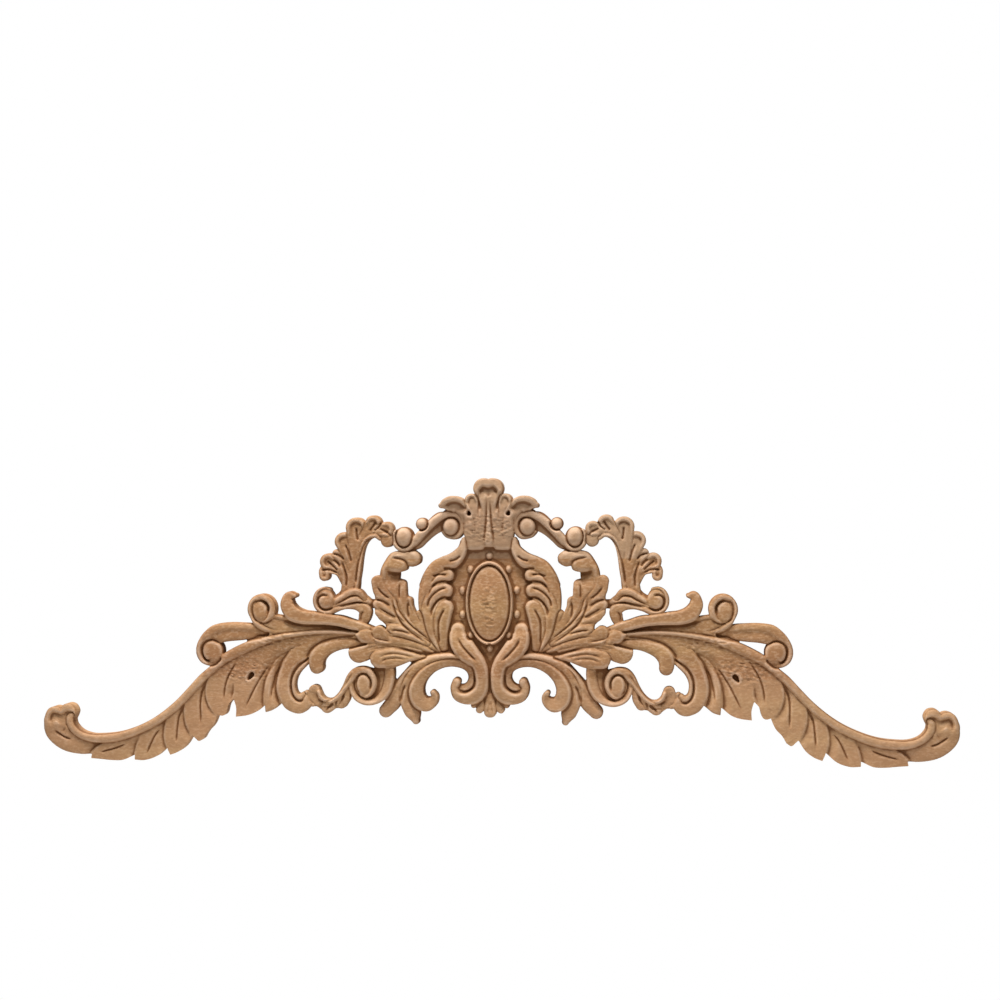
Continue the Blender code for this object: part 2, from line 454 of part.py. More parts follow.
def carve_side_leaves(r):
    """Two leaves that lie along the big leaf and end in broad round lobes."""
    r.stroke([(60, -43, 1.4, 11.5), (76, -39.8, 1.8, 12), (90, -40, 3, 12.5), (102, -42, 6, 13),
              (109, -43.6, 8.4, 13), (114.8, -44.4, 9.6, 13)], crown=1.0)
    for vein in (
            [(63.7, -47.2), (70.2, -43.2), (77.8, -40.4), (86.4, -39.6), (96.1, -40.4),
             (104.7, -42.6), (111, -45.6)],
            [(80, -42), (90, -41.8), (99, -43.8), (106, -47)],
            [(84, -38.2), (94, -38.2), (103, -40), (110, -42)]):
        r.groove(vein, 1.5, 1.2)
    r.cove([(105.4, -54), (103.4, -48.4), (98, -44.6), (90, -42)], 1.2, 5.0)
    r.stroke([(57, -48.4, 1.2, 11), (62, -48.9, 2.3, 12), (70, -48.4, 4.2, 13), (83, -49.4, 8.0, 14),
              (92, -50, 8.1, 14), (97.5, -50.6, 7.5, 14)], crown=1.4)
    for vein in (
            [(64, -49.6), (74, -47), (84, -45.6), (93, -47), (99, -51)],
            [(72, -51), (82, -49.4), (91, -50.4), (97, -54)]):
        r.groove(vein, 1.5, 1.3)


def carve_lower_volute(r):
    """U ribbon, the volute it holds, and the connecting leaf that runs on to the wing."""
    r.panel([[(123, -68), (129, -76), (138, -85), (147, -87), (156, -83)], [(156, -83), (158.6, -90)],
             [(158.6, -90), (152, -93.4), (146, -97.6), (141, -97), (136.8, -94.4), (131.4, -93.4),
              (127, -88.6), (123.8, -80), (123, -68)]], 9.8, pillow=0.6)
    r.stroke([(125.8, -76, 2.4, 10.4), (127.6, -84, 4.2, 10.2), (131.4, -89.2, 5.2, 10)], crown=1.0)
    r.stroke([(131.6, -84, 2.4, 10.2), (138.4, -89.6, 4.6, 10.2), (144.0, -92.9, 5.6, 10)], crown=1.0)
    r.stroke([(142, -90, 3, 10), (150, -88.8, 4.0, 10.2), (154.4, -88, 4.7, 10)], crown=1.0)
    r.stroke([(157, -90, 3, 9.5), (160, -84.5, 4, 10), (163.2, -81.4, 2.6, 10.5)], crown=1.0)
    r.stroke([(152, -89, 3.5, 9.6), (155.6, -83, 5.2, 9.8), (155.2, -78.8, 5.2, 10.8)], crown=0.8,
             dish=1.0)
    r.groove([(123.4, -70), (127.1, -76.8), (129.2, -82.1), (131.6, -89.5)], 2.0, 1.3)
    r.groove([(133, -83.4), (135.7, -88.2), (136.8, -95)], 1.8, 1.3)
    r.groove([(138, -88.4), (142.1, -92.6), (145.6, -97)], 2.2, 1.3)
    r.stroke([(88.6, -50, 3.9, 12), (88.5, -58, 4.5, 12), (88.5, -66, 4.6, 12), (90.6, -76, 4.4, 12),
              (95.6, -84, 3.6, 12), (103, -88.2, 2.6, 12), (110.5, -88.3, 2.5, 12),
              (117.4, -84.6, 2.6, 11.5), (121.3, -78, 2.4, 11), (122.3, -70, 2.6, 11)], crown=2.0,
             tilt=-1.4)
    ring = [(112.4, -81.4, 2.2, 11.6)]
    ring += arc_stations((112.2, -72), (9.4, 11.0), 250, 100, 1.06, (2.4, 3.0), (12, 12.5))
    ring += [(117.6, -61.8, 3.7, 12.5), (122.6, -67, 3.7, 12.5), (127.6, -75, 2.5, 12),
             (132.8, -82.2, 2.0, 12), (139, -87, 1.9, 12), (145, -87.2, 1.8, 12),
             (149.2, -84, 1.8, 12), (151.2, -79.5, 1.7, 12)]
    r.stroke(ring, crown=1.2)
    r.dome(111.8, -73, 6.9, 9.4, 11.2, 1.4, bulge=3)
    r.groove([(105.4, -78), (104.7, -70.6), (107.6, -65.2), (112.1, -63.6), (116, -66), (117.8, -71.3),
              (117, -77.4), (113.6, -82.2)], 3.0, 1.4, taper=0.1)
    r.groove([(120.6, -62.6), (123.9, -67.4), (127.4, -72.6), (133.5, -80.2), (140, -86.2),
              (146.4, -88.4), (154, -85.6)], 1.6, 1.3, taper=0.1)


def carve_small_volute(r):
    """Small scroll beside the tall leaf, three bands wide, ending in a volute."""
    r.panel([[(107, -4), (111, 2), (116, 6), (123, 6), (131, 1), (141, -3)],
             [(141, -3), (142, -9)], [(142, -9), (132, -7), (122, -5.4), (113, -7), (107, -4)]],
            11.4, pillow=0)
    low = [(113.4, -21, 3.6, 10), (110.4, -14, 5.2, 10.5), (110.2, -8, 5.6, 11), (116.4, -4.7, 3.6, 11.6),
           (125, -4.5, 2.4, 12), (133, -6.2, 2.4, 12.4), (140, -9.2, 2.4, 12.6)]
    low += arc_stations((145.2, 0.8), (8.8, 10.3), 265, 470, 0.86, (2.1, 2.8), (13, 13.5))
    r.stroke([(106, -0.6, 2.4, 10), (112, 2, 3.8, 11.8), (120, 1.6, 4.2, 12.4), (128, -0.9, 4.0, 12.6),
              (136, -3.4, 3.6, 12.6), (142, -4.4, 3, 12.2)], crown=0.8)
    r.stroke([(110.5, 2.8, 2.4, 10.5), (114.6, 7.2, 2.9, 12), (119, 8.2, 2.9, 12.6), (124.4, 6.6, 2.9, 12.6),
              (130, 2.8, 2.8, 12.6), (137, -0.6, 2.6, 12.6), (142, -1.6, 3, 12.4)], crown=0.9)
    r.stroke(low, crown=1.0)
    r.dome(144.6, 1.4, 7.4, 9.2, 11.4, 2.2, bulge=3)
    r.groove([(112.6, 4.4), (117, 4.9), (121.9, 4.4), (126.4, 2.4), (132, -0.6), (138.6, -2.6)], 2.0, 1.3)
    r.groove([(105.6, -3.4), (111.2, -1.5), (116.6, -1), (125.2, -3.0), (132, -4.6), (137, -5.4)],
             2.2, 1.3)
    r.groove([(110.6, -8), (113.4, -12.4), (113.6, -18)], 1.8, 1.4)
    r.groove([(141.4, 3.6), (144.4, 5.4), (148, 5.2), (151, 2.2), (151.2, -2.4), (148.4, -6.2),
              (143.6, -7.4), (137, -5.4)], 3.0, 1.5, taper=0.15)


def carve_tall_leaf(r):
    """Tall leaf whose five lobes stand off its right side, each dished with a rolled lip."""
    r.stroke([(128, 9, 3, 9.5), (132, 4.8, 2.8, 9.5), (139, 1, 2.6, 9.5)], crown=0.8)
    r.stroke([(124, 6, 7.8, 10), (122.6, 14, 8, 10.6), (122.4, 24, 8.4, 11), (121, 38, 8.6, 11.6),
              (117.2, 51, 7.4, 12), (108.6, 62, 7.2, 12.4), (98, 63.4, 6.4, 12.6),
              (91, 57.6, 6.0, 12.6), (89.6, 52.8, 5.6, 12.6)], crown=1.0)
    lobes = (
        ([(127, 14, 3.0, 10.4), (132, 26.2, 4.8, 11.4), (140.2, 29.4, 5.4, 12.2),
          (145.3, 26.8, 4.9, 12.5), (145.6, 22.3, 4.6, 12.5)], 1.4),
        ([(126, 18, 3.4, 10.4), (131, 28.6, 5.0, 11.8), (142, 34.6, 7.4, 13)], 2.0),
        ([(125, 30, 3, 10.8), (134.2, 41.4, 4.3, 12.6)], 0.8),
        ([(120, 28, 4, 11), (123.4, 40, 6, 12.2), (127.6, 52.2, 8.4, 13.8)], 2.2),
        ([(117, 36, 5, 11.6), (117, 52, 7.4, 12.6), (117, 64.3, 9.1, 14.2)], 2.4),
        ([(114, 50, 3.6, 11.8), (107, 61.4, 5, 12.8), (101.8, 67.8, 7.4, 14.2)], 2.2),
        ([(104, 61, 3.6, 12.2), (96.4, 62.4, 5.4, 13.2), (90.3, 63, 6.6, 13.8)], 1.6))
    for lobe, scoop in lobes:
        r.stroke(lobe, crown=1.1, dish=0.2, emerge=12, lip=3.0, scoop=scoop)
    r.stroke([(117.4, 12, 1.8, 11), (115, 26, 1.9, 12), (113.2, 40, 1.9, 12.5),
              (110.8, 49.4, 2.0, 13), (106.4, 55.4, 1.9, 13), (100.6, 57.4, 1.7, 13),
              (96, 54.4, 1.5, 12.5)], crown=0.7)
    for vein in (
            [(117.6, 14), (117.4, 20), (115.7, 31.7), (113.3, 41), (110.9, 47.6), (106.8, 53.6),
             (100.6, 55.8)],
            [(99.6, 70), (102, 65.8), (105.4, 61.4)],
            [(94.4, 69.4), (97.2, 64.8), (101.4, 61.6)],
            [(117.0, 65), (116.6, 59), (115.6, 53)],
            [(127.0, 50.4), (124.1, 43.0), (121.4, 34)],
            [(130.6, 35.2), (127.8, 28), (126.2, 20), (126.6, 12)],
            [(143.4, 35.8), (138.6, 31.6), (133.6, 27)],
            [(137.9, 36.9), (134.3, 33.8), (131.6, 30)],
            [(138.2, 41.6), (132.7, 40.6), (128, 36.6)],
            [(86, 57.2), (90.7, 61), (96, 63.6)],
            [(134, 24.8), (139.1, 27.5), (143.4, 28.2), (148.4, 27)]):
        r.groove(vein, 2.6, 1.3, taper=0.12)


def carve_tail(r):
    """Tail of the wing: a curled end leaf under the stem's hook."""
    r.stroke([(340, -130, 4.5, 9.0), (354, -130.2, 5.7, 10.0), (367, -128.6, 7.8, 10.6),
              (379, -123.6, 10.2, 11), (388, -115.2, 11, 12), (389.6, -107, 10.4, 12.8)], crown=1.0)
    r.panel([[(384.4, -95.6), (386.4, -94.2), (390.4, -93.7), (395.4, -95.8), (398.4, -101),
              (399.6, -108), (398.8, -115)], [(398.8, -115), (392, -121), (380, -120)],
             [(380, -120), (375, -109), (371.4, -102), (370.6, -97.4), (373.4, -92.6),
              (378.2, -91.1), (382, -92.4), (384.4, -95.6)]], 13.8, pillow=0.8, reach=4.0,
            root=((384, -118), (384, -106)))
    r.cove([(370, -101.4), (372.7, -98.6), (376.3, -96), (380.4, -96.6), (383.6, -98.6),
            (387, -98), (391.6, -97.4), (395.2, -100.6), (396.4, -107), (394, -114)], 3.2, 15.0,
           taper=0.3, wall=3.2)
    r.cove([(386, -122), (379.4, -115), (377.4, -107), (376, -100)], 1.8, 12.0, taper=0.4, wall=2.6)
    r.groove([(374, -123.2), (378, -122.4), (382, -120.8), (386.6, -117.8), (391.4, -113.6)], 2.8, 1.3)


def feather(r, outline, edge, veins):
    """One feather of the wing: the shade beside its edge, its sheet, and its veins."""
    r.cove(edge, FEATHER_SHADE, 10.0, taper=0.35)
    r.panel(outline, WING_SHEET, pillow=0, crisp=True)
    for vein in veins:
        r.groove(vein, 2.4, 1.15, taper=0.25)


def carve_feathers(r):
    """The wing's outer feathers, from the tail inwards, each tucked under the next."""
    feather(r, [[(300, -110), (326, -117), (344, -125.6)], [(344, -125.6), (351, -129.6),
                (356.4, -135)], [(356.4, -135), (357.2, -139.8)], [(357.2, -139.8), (347, -140.6),
                (338, -141.4), (328, -141), (318.6, -137)], [(318.6, -137), (306, -128), (300, -110)]],
            [(360.4, -141), (357.6, -135.4), (351.6, -129.4), (344, -125.4)],
            [[(324, -126), (332.6, -129.8), (341, -132.4), (351, -135)]])
    feather(r, [[(280, -100), (300, -108), (311, -118)], [(311, -118), (315.4, -127.6),
                (317.4, -137)], [(317.4, -137), (317.4, -140.8)], [(317.4, -140.8), (308, -141),
                (297.4, -137.4), (287.6, -129)], [(287.6, -129), (280, -100)]],
            [(318.8, -147), (317.6, -137), (315.4, -127.6), (310.6, -118)],
            [[(293, -112.4), (298, -117.4), (302.6, -126), (307.4, -137)]])
    feather(r, [[(256, -84), (272, -88), (284, -97)], [(284, -97), (289, -109), (290.4, -120),
                (288, -129)], [(288, -129), (287, -132), (285, -136.2)],
                [(285, -136.2), (278, -133.4), (270.8, -127.8), (265, -118.8)],
                [(265, -118.8), (256, -84)]],
            [(283, -142), (289, -128), (290.4, -117), (287.6, -104), (281, -94)],
            [[(273, -93), (277.4, -102), (278.8, -111), (279.4, -119), (280.2, -127)],
             [(267.6, -95), (267.4, -104), (263.6, -114)]])
    feather(r, [[(232, -66), (252, -70), (266, -81)], [(266, -81), (271.4, -92), (271.8, -102),
                (269.6, -110), (265.2, -118.6)], [(265.2, -118.6), (262.6, -121), (259, -123.8),
                (254.8, -121.4)], [(254.8, -121.4), (251.2, -115.2), (245.6, -109), (241.8, -100)],
                [(241.8, -100), (236, -88), (232, -66)]],
            [(262, -125), (269.6, -112), (272.2, -100), (270, -88), (262, -77)],
            [[(252, -72), (256.6, -80), (258, -89.9), (257.8, -99), (257.4, -111)],
             [(249, -76), (248.6, -86), (244.4, -97)]])
    feather(r, [[(200, -38), (230, -50), (247, -63)], [(247, -63), (251.4, -73), (252.4, -82),
                (250.6, -90), (246, -98)], [(246, -98), (242.4, -100)], [(242.4, -100),
                (237.6, -101.2), (234.2, -98.6), (232, -91), (227.6, -86)],
                [(227.6, -86), (205, -72), (200, -38)]],
            [(240, -105), (249, -93.6), (252.6, -82), (250.6, -70), (243, -58)],
            [[(223.4, -51), (229.2, -60.3), (233.1, -68.0), (235.8, -77.4), (236.8, -90)]])
    feather(r, [[(180, -36), (206, -42), (222, -56)], [(222, -56), (226.4, -70), (227.6, -86)],
                [(227.6, -86), (225.4, -94), (225.6, -102)], [(225.6, -102), (216, -100.8),
                (208, -97.9), (199.8, -91.4)], [(199.8, -91.4), (190, -60), (180, -36)]],
            [(231, -93), (226.6, -81), (219, -73.4), (208, -68)],
            [[(195, -54.6), (202, -65), (207.4, -74), (212, -83), (218.4, -96)]])


def carve_wing(r):
    """Wing: the two inner feathers over the rest, the rolled rim, the C lobe and the stem."""
    r.cove([(199.4, -102), (200.4, -86), (198.8, -74), (194, -61), (187, -51), (176, -44)], 3.0, 9.0)
    r.panel([[(160, -34), (176, -42), (186, -50)], [(186, -50), (194.6, -61), (199.4, -74),
             (199.6, -91)], [(199.6, -91), (199, -98)], [(199, -98), (192.4, -95.8), (185, -90)],
             [(185, -90), (172, -60), (160, -34)]], WING_SHEET, pillow=0.4,
            ramp=((187, -70, -1.4), (198, -72, 0.6)), root=((176, -44), (190, -60)))
    r.groove([(184, -55), (189.7, -64.3), (192, -72), (193.8, -80), (194, -90)], 2.2, 1.3)
    r.cove([(184, -96), (188.4, -81), (188.4, -70), (184.6, -57), (179.6, -49), (170, -41)], 3.2, 7.0)
    r.panel([[(116, -30), (140, -29), (176, -42)], [(176, -42), (184, -57), (188.4, -70),
             (188.6, -80), (185, -89.6)], [(185, -89.6), (180, -95.4), (171, -99), (163.6, -97.4),
             (157.6, -91)], [(157.6, -91), (161, -84), (164.6, -79.4)], [(165.6, -82), (169, -86.6),
             (174, -83), (176, -74), (173, -63), (165, -54.4), (157, -48)],
            [(157, -48), (140, -37), (116, -36)]], WING_SHEET, pillow=0.6, reach=4.0,
            ramp=((170, -60, 0.0), (188, -60, 0.6)), root=((150, -32), (178, -56)))
    r.stroke([(159, -51.4, 1.6, 10), (165, -56.8, 1.7, 10.4), (170, -62, 1.8, 10.4),
              (173.2, -68, 1.9, 10.4), (174.3, -75, 2.1, 10.4), (172.6, -81.6, 2.2, 10.4),
              (168.6, -84.4, 2.6, 10.4), (165.6, -82.2, 2.2, 10)], crown=0.9)
    r.groove([(158, -47.6), (161.8, -51.4), (168.6, -55.8), (173.6, -62), (176, -68.5), (176.4, -75),
              (175.2, -82), (171.6, -87), (167, -88), (163.6, -85)], 2.8, 1.4, taper=0.1)
    r.pit(212.6, -66.4, 4.0, 1.9, -55, 4)
    r.cove([(162, -52), (156.6, -43.6), (149.8, -38.6), (141.3, -35), (131.6, -33.2), (118, -32.4)],
           3.0, 5.0, taper=0.1)
    r.stroke([(110, -35.4, 2.4, 10), (122, -37.2, 4.0, 10.5), (131, -38, 4.5, 11),
              (139, -40, 5.2, 12), (147, -43.4, 6.4, 12.5), (152.2, -49, 6.9, 13),
              (153.2, -55, 6.5, 13), (152.8, -57.6, 6.2, 13)], crown=2.0)
    r.cove([(384, -108), (380, -112), (375.6, -115.8), (370.4, -120.6), (360.7, -124.6),
            (349.3, -126.4), (337.8, -126.2), (323.2, -123), (308.6, -116.9), (293.9, -108.4),
            (281.3, -98.8), (270.8, -88.3), (260.3, -77.6), (249.7, -67), (233.4, -55.8), (217, -46),
            (200, -38.6), (180, -32.4), (160, -29.6), (140, -29), (122, -30)], 1.6, 7.0, taper=0.05)
    r.stroke([(116, -28.5, 1.2, 11.4), (139, -27.2, 1.6, 12), (158, -27.6, 1.9, 12.5),
              (175, -29.6, 2.1, 13), (190, -32.4, 2.5, 13), (202, -36, 3.1, 13), (213, -39.4, 4.2, 13),
              (224, -44.4, 4.4, 13), (236, -51, 4.0, 13), (246, -59.6, 3.3, 13),
              (256, -68.2, 3.4, 13), (266, -79, 3.4, 13), (277, -90.3, 3.4, 13),
              (290, -101, 3.4, 13), (303, -109.2, 3.4, 13), (318, -116, 3.5, 13),
              (332, -120.4, 3.7, 13), (346, -122.1, 3.7, 13), (358, -121.6, 3.3, 13),
              (368, -118, 3.1, 13), (374.8, -111.4, 3.3, 13), (376.4, -105, 3.4, 13),
              (375, -101.4, 2.8, 12.6)], crown=1.8)


def carve_upper_volute(r):
    """Ledge, ribbon and upper volute that rise behind the wing's hooked stem."""
    r.stroke([(172, -15.6, 1.5, 12), (179, -14.9, 1.7, 12.4), (191, -13.3, 1.7, 12.4)], crown=0.7)
    r.stroke([(198, -28.4, 2, 8), (205, -26.6, 4.4, 9.5), (211, -26.5, 6.6, 11.5),
              (220, -26.9, 7.6, 12.5), (232, -27.3, 8.2, 13), (243, -29, 8.3, 13),
              (250, -31.2, 5.4, 13), (254.9, -35.2, 3.5, 13), (257.8, -40.4, 2.7, 13),
              (258.2, -46.4, 2.4, 12.5), (255.8, -51.8, 2.1, 12), (251, -54.6, 2.1, 11.5),
              (245.6, -54.4, 2.4, 11), (241.4, -50.8, 2.6, 11)], crown=1.6, tilt=0.6)
    r.cove([(203, -24.6), (208, -24.2), (214.2, -23.8), (229, -23.2), (237.5, -24.2), (245, -27.4),
            (250.6, -32.8), (252.6, -38)], 1.5, 11.0, taper=0.15, wall=4.0)
    r.dome(246.0, -44.0, 8.8, 9.2, 11.8, 1.4, bulge=3)
    r.groove([(238, -38.4), (243.6, -35), (249.1, -34.4), (253.8, -37.1), (255.9, -41.6),
              (255.4, -47.0), (253.1, -51.1), (249.8, -52.2), (246.2, -49.6)], 2.6, 1.3, taper=0.12)
    ring = [(184, -27.6, 1.2, 11), (193, -26.4, 1.8, 11.4), (200.6, -23.6, 2.3, 12),
            (206.6, -19.4, 2.4, 12.6)]
    ring += arc_stations((201.6, -7), (10.4, 11.2), -40, 200, 0.88, (2.4, 3.4), (12.8, 14))
    ring += [(194.4, -13.8, 3.0, 13.6), (199.4, -16.2, 2.8, 13.2), (204.6, -14.8, 2.6, 12.8)]
    r.stroke(ring, crown=1.2, emerge=16)
    r.dome(202.8, -8.8, 7.0, 8.8, 11.6, 1.6, bulge=3)
    r.groove([(197.4, -12.6), (195.8, -9), (195.8, -4.6), (198.4, -1.0), (202.6, 0.9), (206.4, 0.4)],
             3.6, 1.8, taper=0.3)
    r.groove([(203, 0.8), (207.8, -0.2), (210.2, -4.1), (210.4, -9.5), (208.6, -15.2), (204, -19)],
             2.2, 1.2, taper=0.15)
    r.groove([(190.6, -13.4), (195.1, -17.6), (200.6, -19.4), (206, -18.4)], 1.6, 1.2)


def carve_hooked_stem(r):
    """Band along the wing's top that ends in a hook."""
    r.stroke([(103, -25.8, 3.2, 13), (112, -22.8, 3.8, 13.5), (122, -20.2, 4.4, 14),
              (132, -17.3, 4.7, 14.5), (143, -16, 4.5, 15), (155, -14.7, 5.4, 15.5),
              (165, -13.8, 5.9, 16), (173.6, -10.6, 6.6, 16), (178.2, -4.6, 6.1, 15.5),
              (178.5, 0.4, 5.4, 15), (176.4, 4.4, 4.4, 14.5), (172, 5, 1.9, 14)], crown=2.4, dish=0.9)


def carve(step):
    """The whole right half, back to front."""
    relief = Relief(step)
    for form in (carve_grounds, carve_palmette, carve_lower_leaf, carve_lower_scroll,
                 carve_frame_leaf, carve_cabochon, carve_upright_leaf, carve_arm, carve_crown,
                 carve_lower_volute, carve_side_leaves, carve_tall_leaf, carve_tail,
                 carve_feathers, carve_wing, carve_upper_volute, carve_small_volute,
                 carve_hooked_stem, carve_knot):
        form(relief)
    relief.height = np.clip(relief.height, THINNEST, THICKNESS)
    return relief


def mirrored(field):
    return np.hstack([field[:, :0:-1], field])


def solid_of(relief, name):
    """One closed mesh, in metres: the carved face, the walls and the flat back."""
    edge = mirrored(relief.edge)
    height = mirrored(relief.height)
    x = np.concatenate([-relief.x[:0:-1], relief.x])
    z = relief.z
    edge[np.abs(edge) < 0.05 * relief.step] = 0.05 * relief.step
    mesh = bmesh.new()
    made = {}

    def corner(row, column):
        key = (row, column)
        if key not in made:
            place = (x[column] * MM, z[row] * MM)
            front = mesh.verts.new((place[0], -height[row, column] * MM, place[1]))
            made[key] = (front, mesh.verts.new((place[0], 0.0, place[1])))
        return made[key]

    def crossing(row_a, column_a, row_b, column_b):
        key = (row_a, column_a, row_b, column_b)
        if key not in made:
            a = edge[row_a, column_a]
            b = edge[row_b, column_b]
            t = a / (a - b)
            px = (x[column_a] * (1 - t) + x[column_b] * t) * MM
            pz = (z[row_a] * (1 - t) + z[row_b] * t) * MM
            deep = (height[row_a, column_a] * (1 - t) + height[row_b, column_b] * t) * MM
            made[key] = (mesh.verts.new((px, -deep, pz)), mesh.verts.new((px, 0.0, pz)))
        return made[key]

    inside = edge > 0
    cell_count = (inside[:-1, :-1].astype(int) + inside[:-1, 1:] + inside[1:, 1:] + inside[1:, :-1])
    for row, column in zip(*np.nonzero(cell_count)):
        ring = ((row, column), (row, column + 1), (row + 1, column + 1), (row + 1, column))
        runs = []
        current = []
        for k, (here, after) in enumerate(zip(ring, ring[1:] + ring[:1])):
            if inside[here]:
                current.append(corner(*here))
            if inside[here] != inside[after]:
                first, second = sorted((here, after))
                current.append(crossing(*first, *second))
                if inside[here]:
                    runs.append(current)
                    current = []
        if current and runs:
            runs[0] = current + runs[0]
        elif current:
            runs.append(current)
        whole = cell_count[row, column] == 4
        for run in runs:
            mesh.faces.new([pair[0] for pair in run])
            mesh.faces.new([pair[1] for pair in reversed(run)])
            if not whole:
                mesh.faces.new([run[0][0], run[-1][0], run[-1][1], run[0][1]])
    data = bpy.data.meshes.new(name)
    bmesh.ops.triangulate(mesh, faces=mesh.faces[:])
    mesh.to_mesh(data)
    mesh.free()
    return data


def wood():
    """Bare tan hardwood."""
    material = bpy.data.materials.new("wood")
    material.use_nodes = True
    shader = material.node_tree.nodes["Principled BSDF"]
    shader.inputs["Base Color"].default_value = (*WOOD_COLOUR, 1.0)
    shader.inputs["Roughness"].default_value = 0.6
    shader.inputs["Metallic"].default_value = 0.0
    return material


def main():
    for thing in list(bpy.data.objects):
        bpy.data.objects.remove(thing, do_unlink=True)
    data = solid_of(carve(GRID_STEP), "applique")
    applique = bpy.data.objects.new("applique", data)
    bpy.context.scene.collection.objects.link(applique)
    applique.data.materials.append(wood())
    thin = applique.modifiers.new("thin", "DECIMATE")
    thin.ratio = TRIANGLES / len(data.polygons)
    depsgraph = bpy.context.evaluated_depsgraph_get()
    final = bpy.data.meshes.new_from_object(applique.evaluated_get(depsgraph))
    applique.modifiers.clear()
    applique.data = final
    for vertex in final.vertices:
        if vertex.co.y > -0.5 * THINNEST * MM:
            vertex.co.y = 0.0
    final.shade_smooth()
    final.set_sharp_from_angle(angle=math.radians(40))


main()
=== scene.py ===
"""Carved wood pediment applique: fine carving, wood, light and camera.

The carving repeats the solid's layout on a finer grid. The right half is laid out in millimetres as
a height field over the flat back, form over form. A form is a row of stations along its spine,
each (x, z, half width, height above the back). The field is mirrored about x = 0, softened as if
sanded by hand, meshed, and stands for the solid.
"""

import math

import bpy
import numpy as np
from mathutils import Euler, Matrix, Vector


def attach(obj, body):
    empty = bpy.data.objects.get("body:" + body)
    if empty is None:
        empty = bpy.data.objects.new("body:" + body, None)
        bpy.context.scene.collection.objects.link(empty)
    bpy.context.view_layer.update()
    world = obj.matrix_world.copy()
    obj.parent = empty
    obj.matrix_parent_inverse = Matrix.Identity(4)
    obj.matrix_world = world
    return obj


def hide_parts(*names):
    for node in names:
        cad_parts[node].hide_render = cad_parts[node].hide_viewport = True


MM = 0.001

# Driving dimensions, in millimetres
HALF_WIDTH = 400.0
TOP = 107.0
BOTTOM = -141.0
THICKNESS = 20.0
GROUND = 8.0            # recessed ground round the cabochon
WING_SHEET = 10.5       # plain sheet of the wing, from which the feathers grow
FEATHER_SHADE = 2.1     # depth of the hollow beside a feather's edge
EDGE_ROUND = 1.1        # rounding of every form's edge
COVE_WALL = 1.5         # run of the wall of a hollow
THINNEST = 3.0          # the carving is never thinner than this
TALLEST = 19.6          # hand work never stands above the solid's highest leaf

# Size of the oval cabochon, and of the rim round it
CABOCHON = (17.8, 32.8)
CABOCHON_RIM = (20.2, 35.5)
CABOCHON_Z = -1.6

# Carved surface
GRID_STEP = 0.6         # spacing of the height field
STEP_WIDTH = 1.0        # run of the steep step from one form down to the next
VEIN = 1.3              # half width of the usual V cut
ARC_STEP = 30.0         # about the turn from one station of an arc to the next, in degrees
RIM_MOVE = 0.3          # how far a point of the rim moves at a time to reach the outline
TRIANGLES = 192000

# Hand work: the softening of the cuts, then the height of each kind of mark and its spacing
SANDING = 0.42
BROAD_MARKS = 0.20
BROAD_SPACING = 7.0
SMALL_MARKS = 0.14
SMALL_SPACING = 2.6
GOUGE_MARKS = 0.55
GOUGE_SPACING = 1.2

# Patches with rough gouge marks: middle and half sizes
HATCHED = ((0, -5, 9, 28), (6, 64, 22, 18), (218, -60, 36, 18), (186, -36, 30, 12))

# Reach of the blurs that a spot's depth is measured against, for the stain and painted shade of cuts, the
# painted shade of valleys and the painted highlight of edges
HOLLOW_REACH = 1.6
VALLEY_REACH = 5.0

# Boards, from the joints that show as faint level lines
UPPER_JOINT = 37.0
UPPER_START = (-88.0, -84.0)    # where the upper board's tone sets in, along x
LOWER_JOINT = -67.0
JOINT_BLUR = 0.6        # half the width over which the tone changes

# Tones of the wood, then the painted shade and painted highlight laid over them
RED_BROWN = (0.352, 0.173, 0.082)
TAN = (0.402, 0.236, 0.104)
STREAK = (0.270, 0.130, 0.053)
DARK_SPECK = (0.235, 0.112, 0.052)
LIGHT_SPECK = (0.600, 0.415, 0.280)
UPPER_BOARD = (0.385, 0.268, 0.178)
LOWER_BOARD = (0.475, 0.285, 0.155)
PORE = (0.220, 0.110, 0.055)
# Painted shade in the broad valleys
PAINTED_VALLEY_SHADE = (0.226, 0.092, 0.027)
# Stain in the deep cuts, darkened further with painted shade
CUT_STAIN_AND_SHADE = (0.126, 0.043, 0.010)
# Painted highlight on the raised edges
PAINTED_EDGE_HIGHLIGHT = (0.625, 0.450, 0.325)
SHEEN = 0.14            # specular level of the bare wood

# Lights, in metres and watts: name, place, width and height, power. They aim at the origin.
LIGHTS = (("top", (-0.25, -0.36, 1.25), (1.4, 0.25), 45.0),
          ("front", (0.1, -2.2, 0.9), (2.0, 1.2), 9.0))
AMBIENT = 0.26          # strength of the white surroundings, where the camera doesn't see them

# Floor, in metres
FLOOR_X = (-1.5, 1.5)
FLOOR_Y = (-1.2, 0.6)
FLOOR_Z = -0.55
FLOOR_COLOUR = (0.93, 0.93, 0.93)

# Camera, fitted to the picture: millimetres of lens, metres, degrees
LENS = 60.0
CAMERA_PLACE = (0.1486, -1.4536, 0.0828)
CAMERA_TURN = (90.21, 0.28, 5.50)

# A grid cell's four corners, in order round it, as slices of the grid's points
LOW = slice(0, -1)
HIGH = slice(1, None)
CORNERS = ((LOW, LOW), (LOW, HIGH), (HIGH, HIGH), (HIGH, LOW))


def smoothstep(value):
    """0 up to 0, 1 from 1 on, and a smooth rise between."""
    t = np.clip(value, 0.0, 1.0)
    return t * t * (3.0 - 2.0 * t)


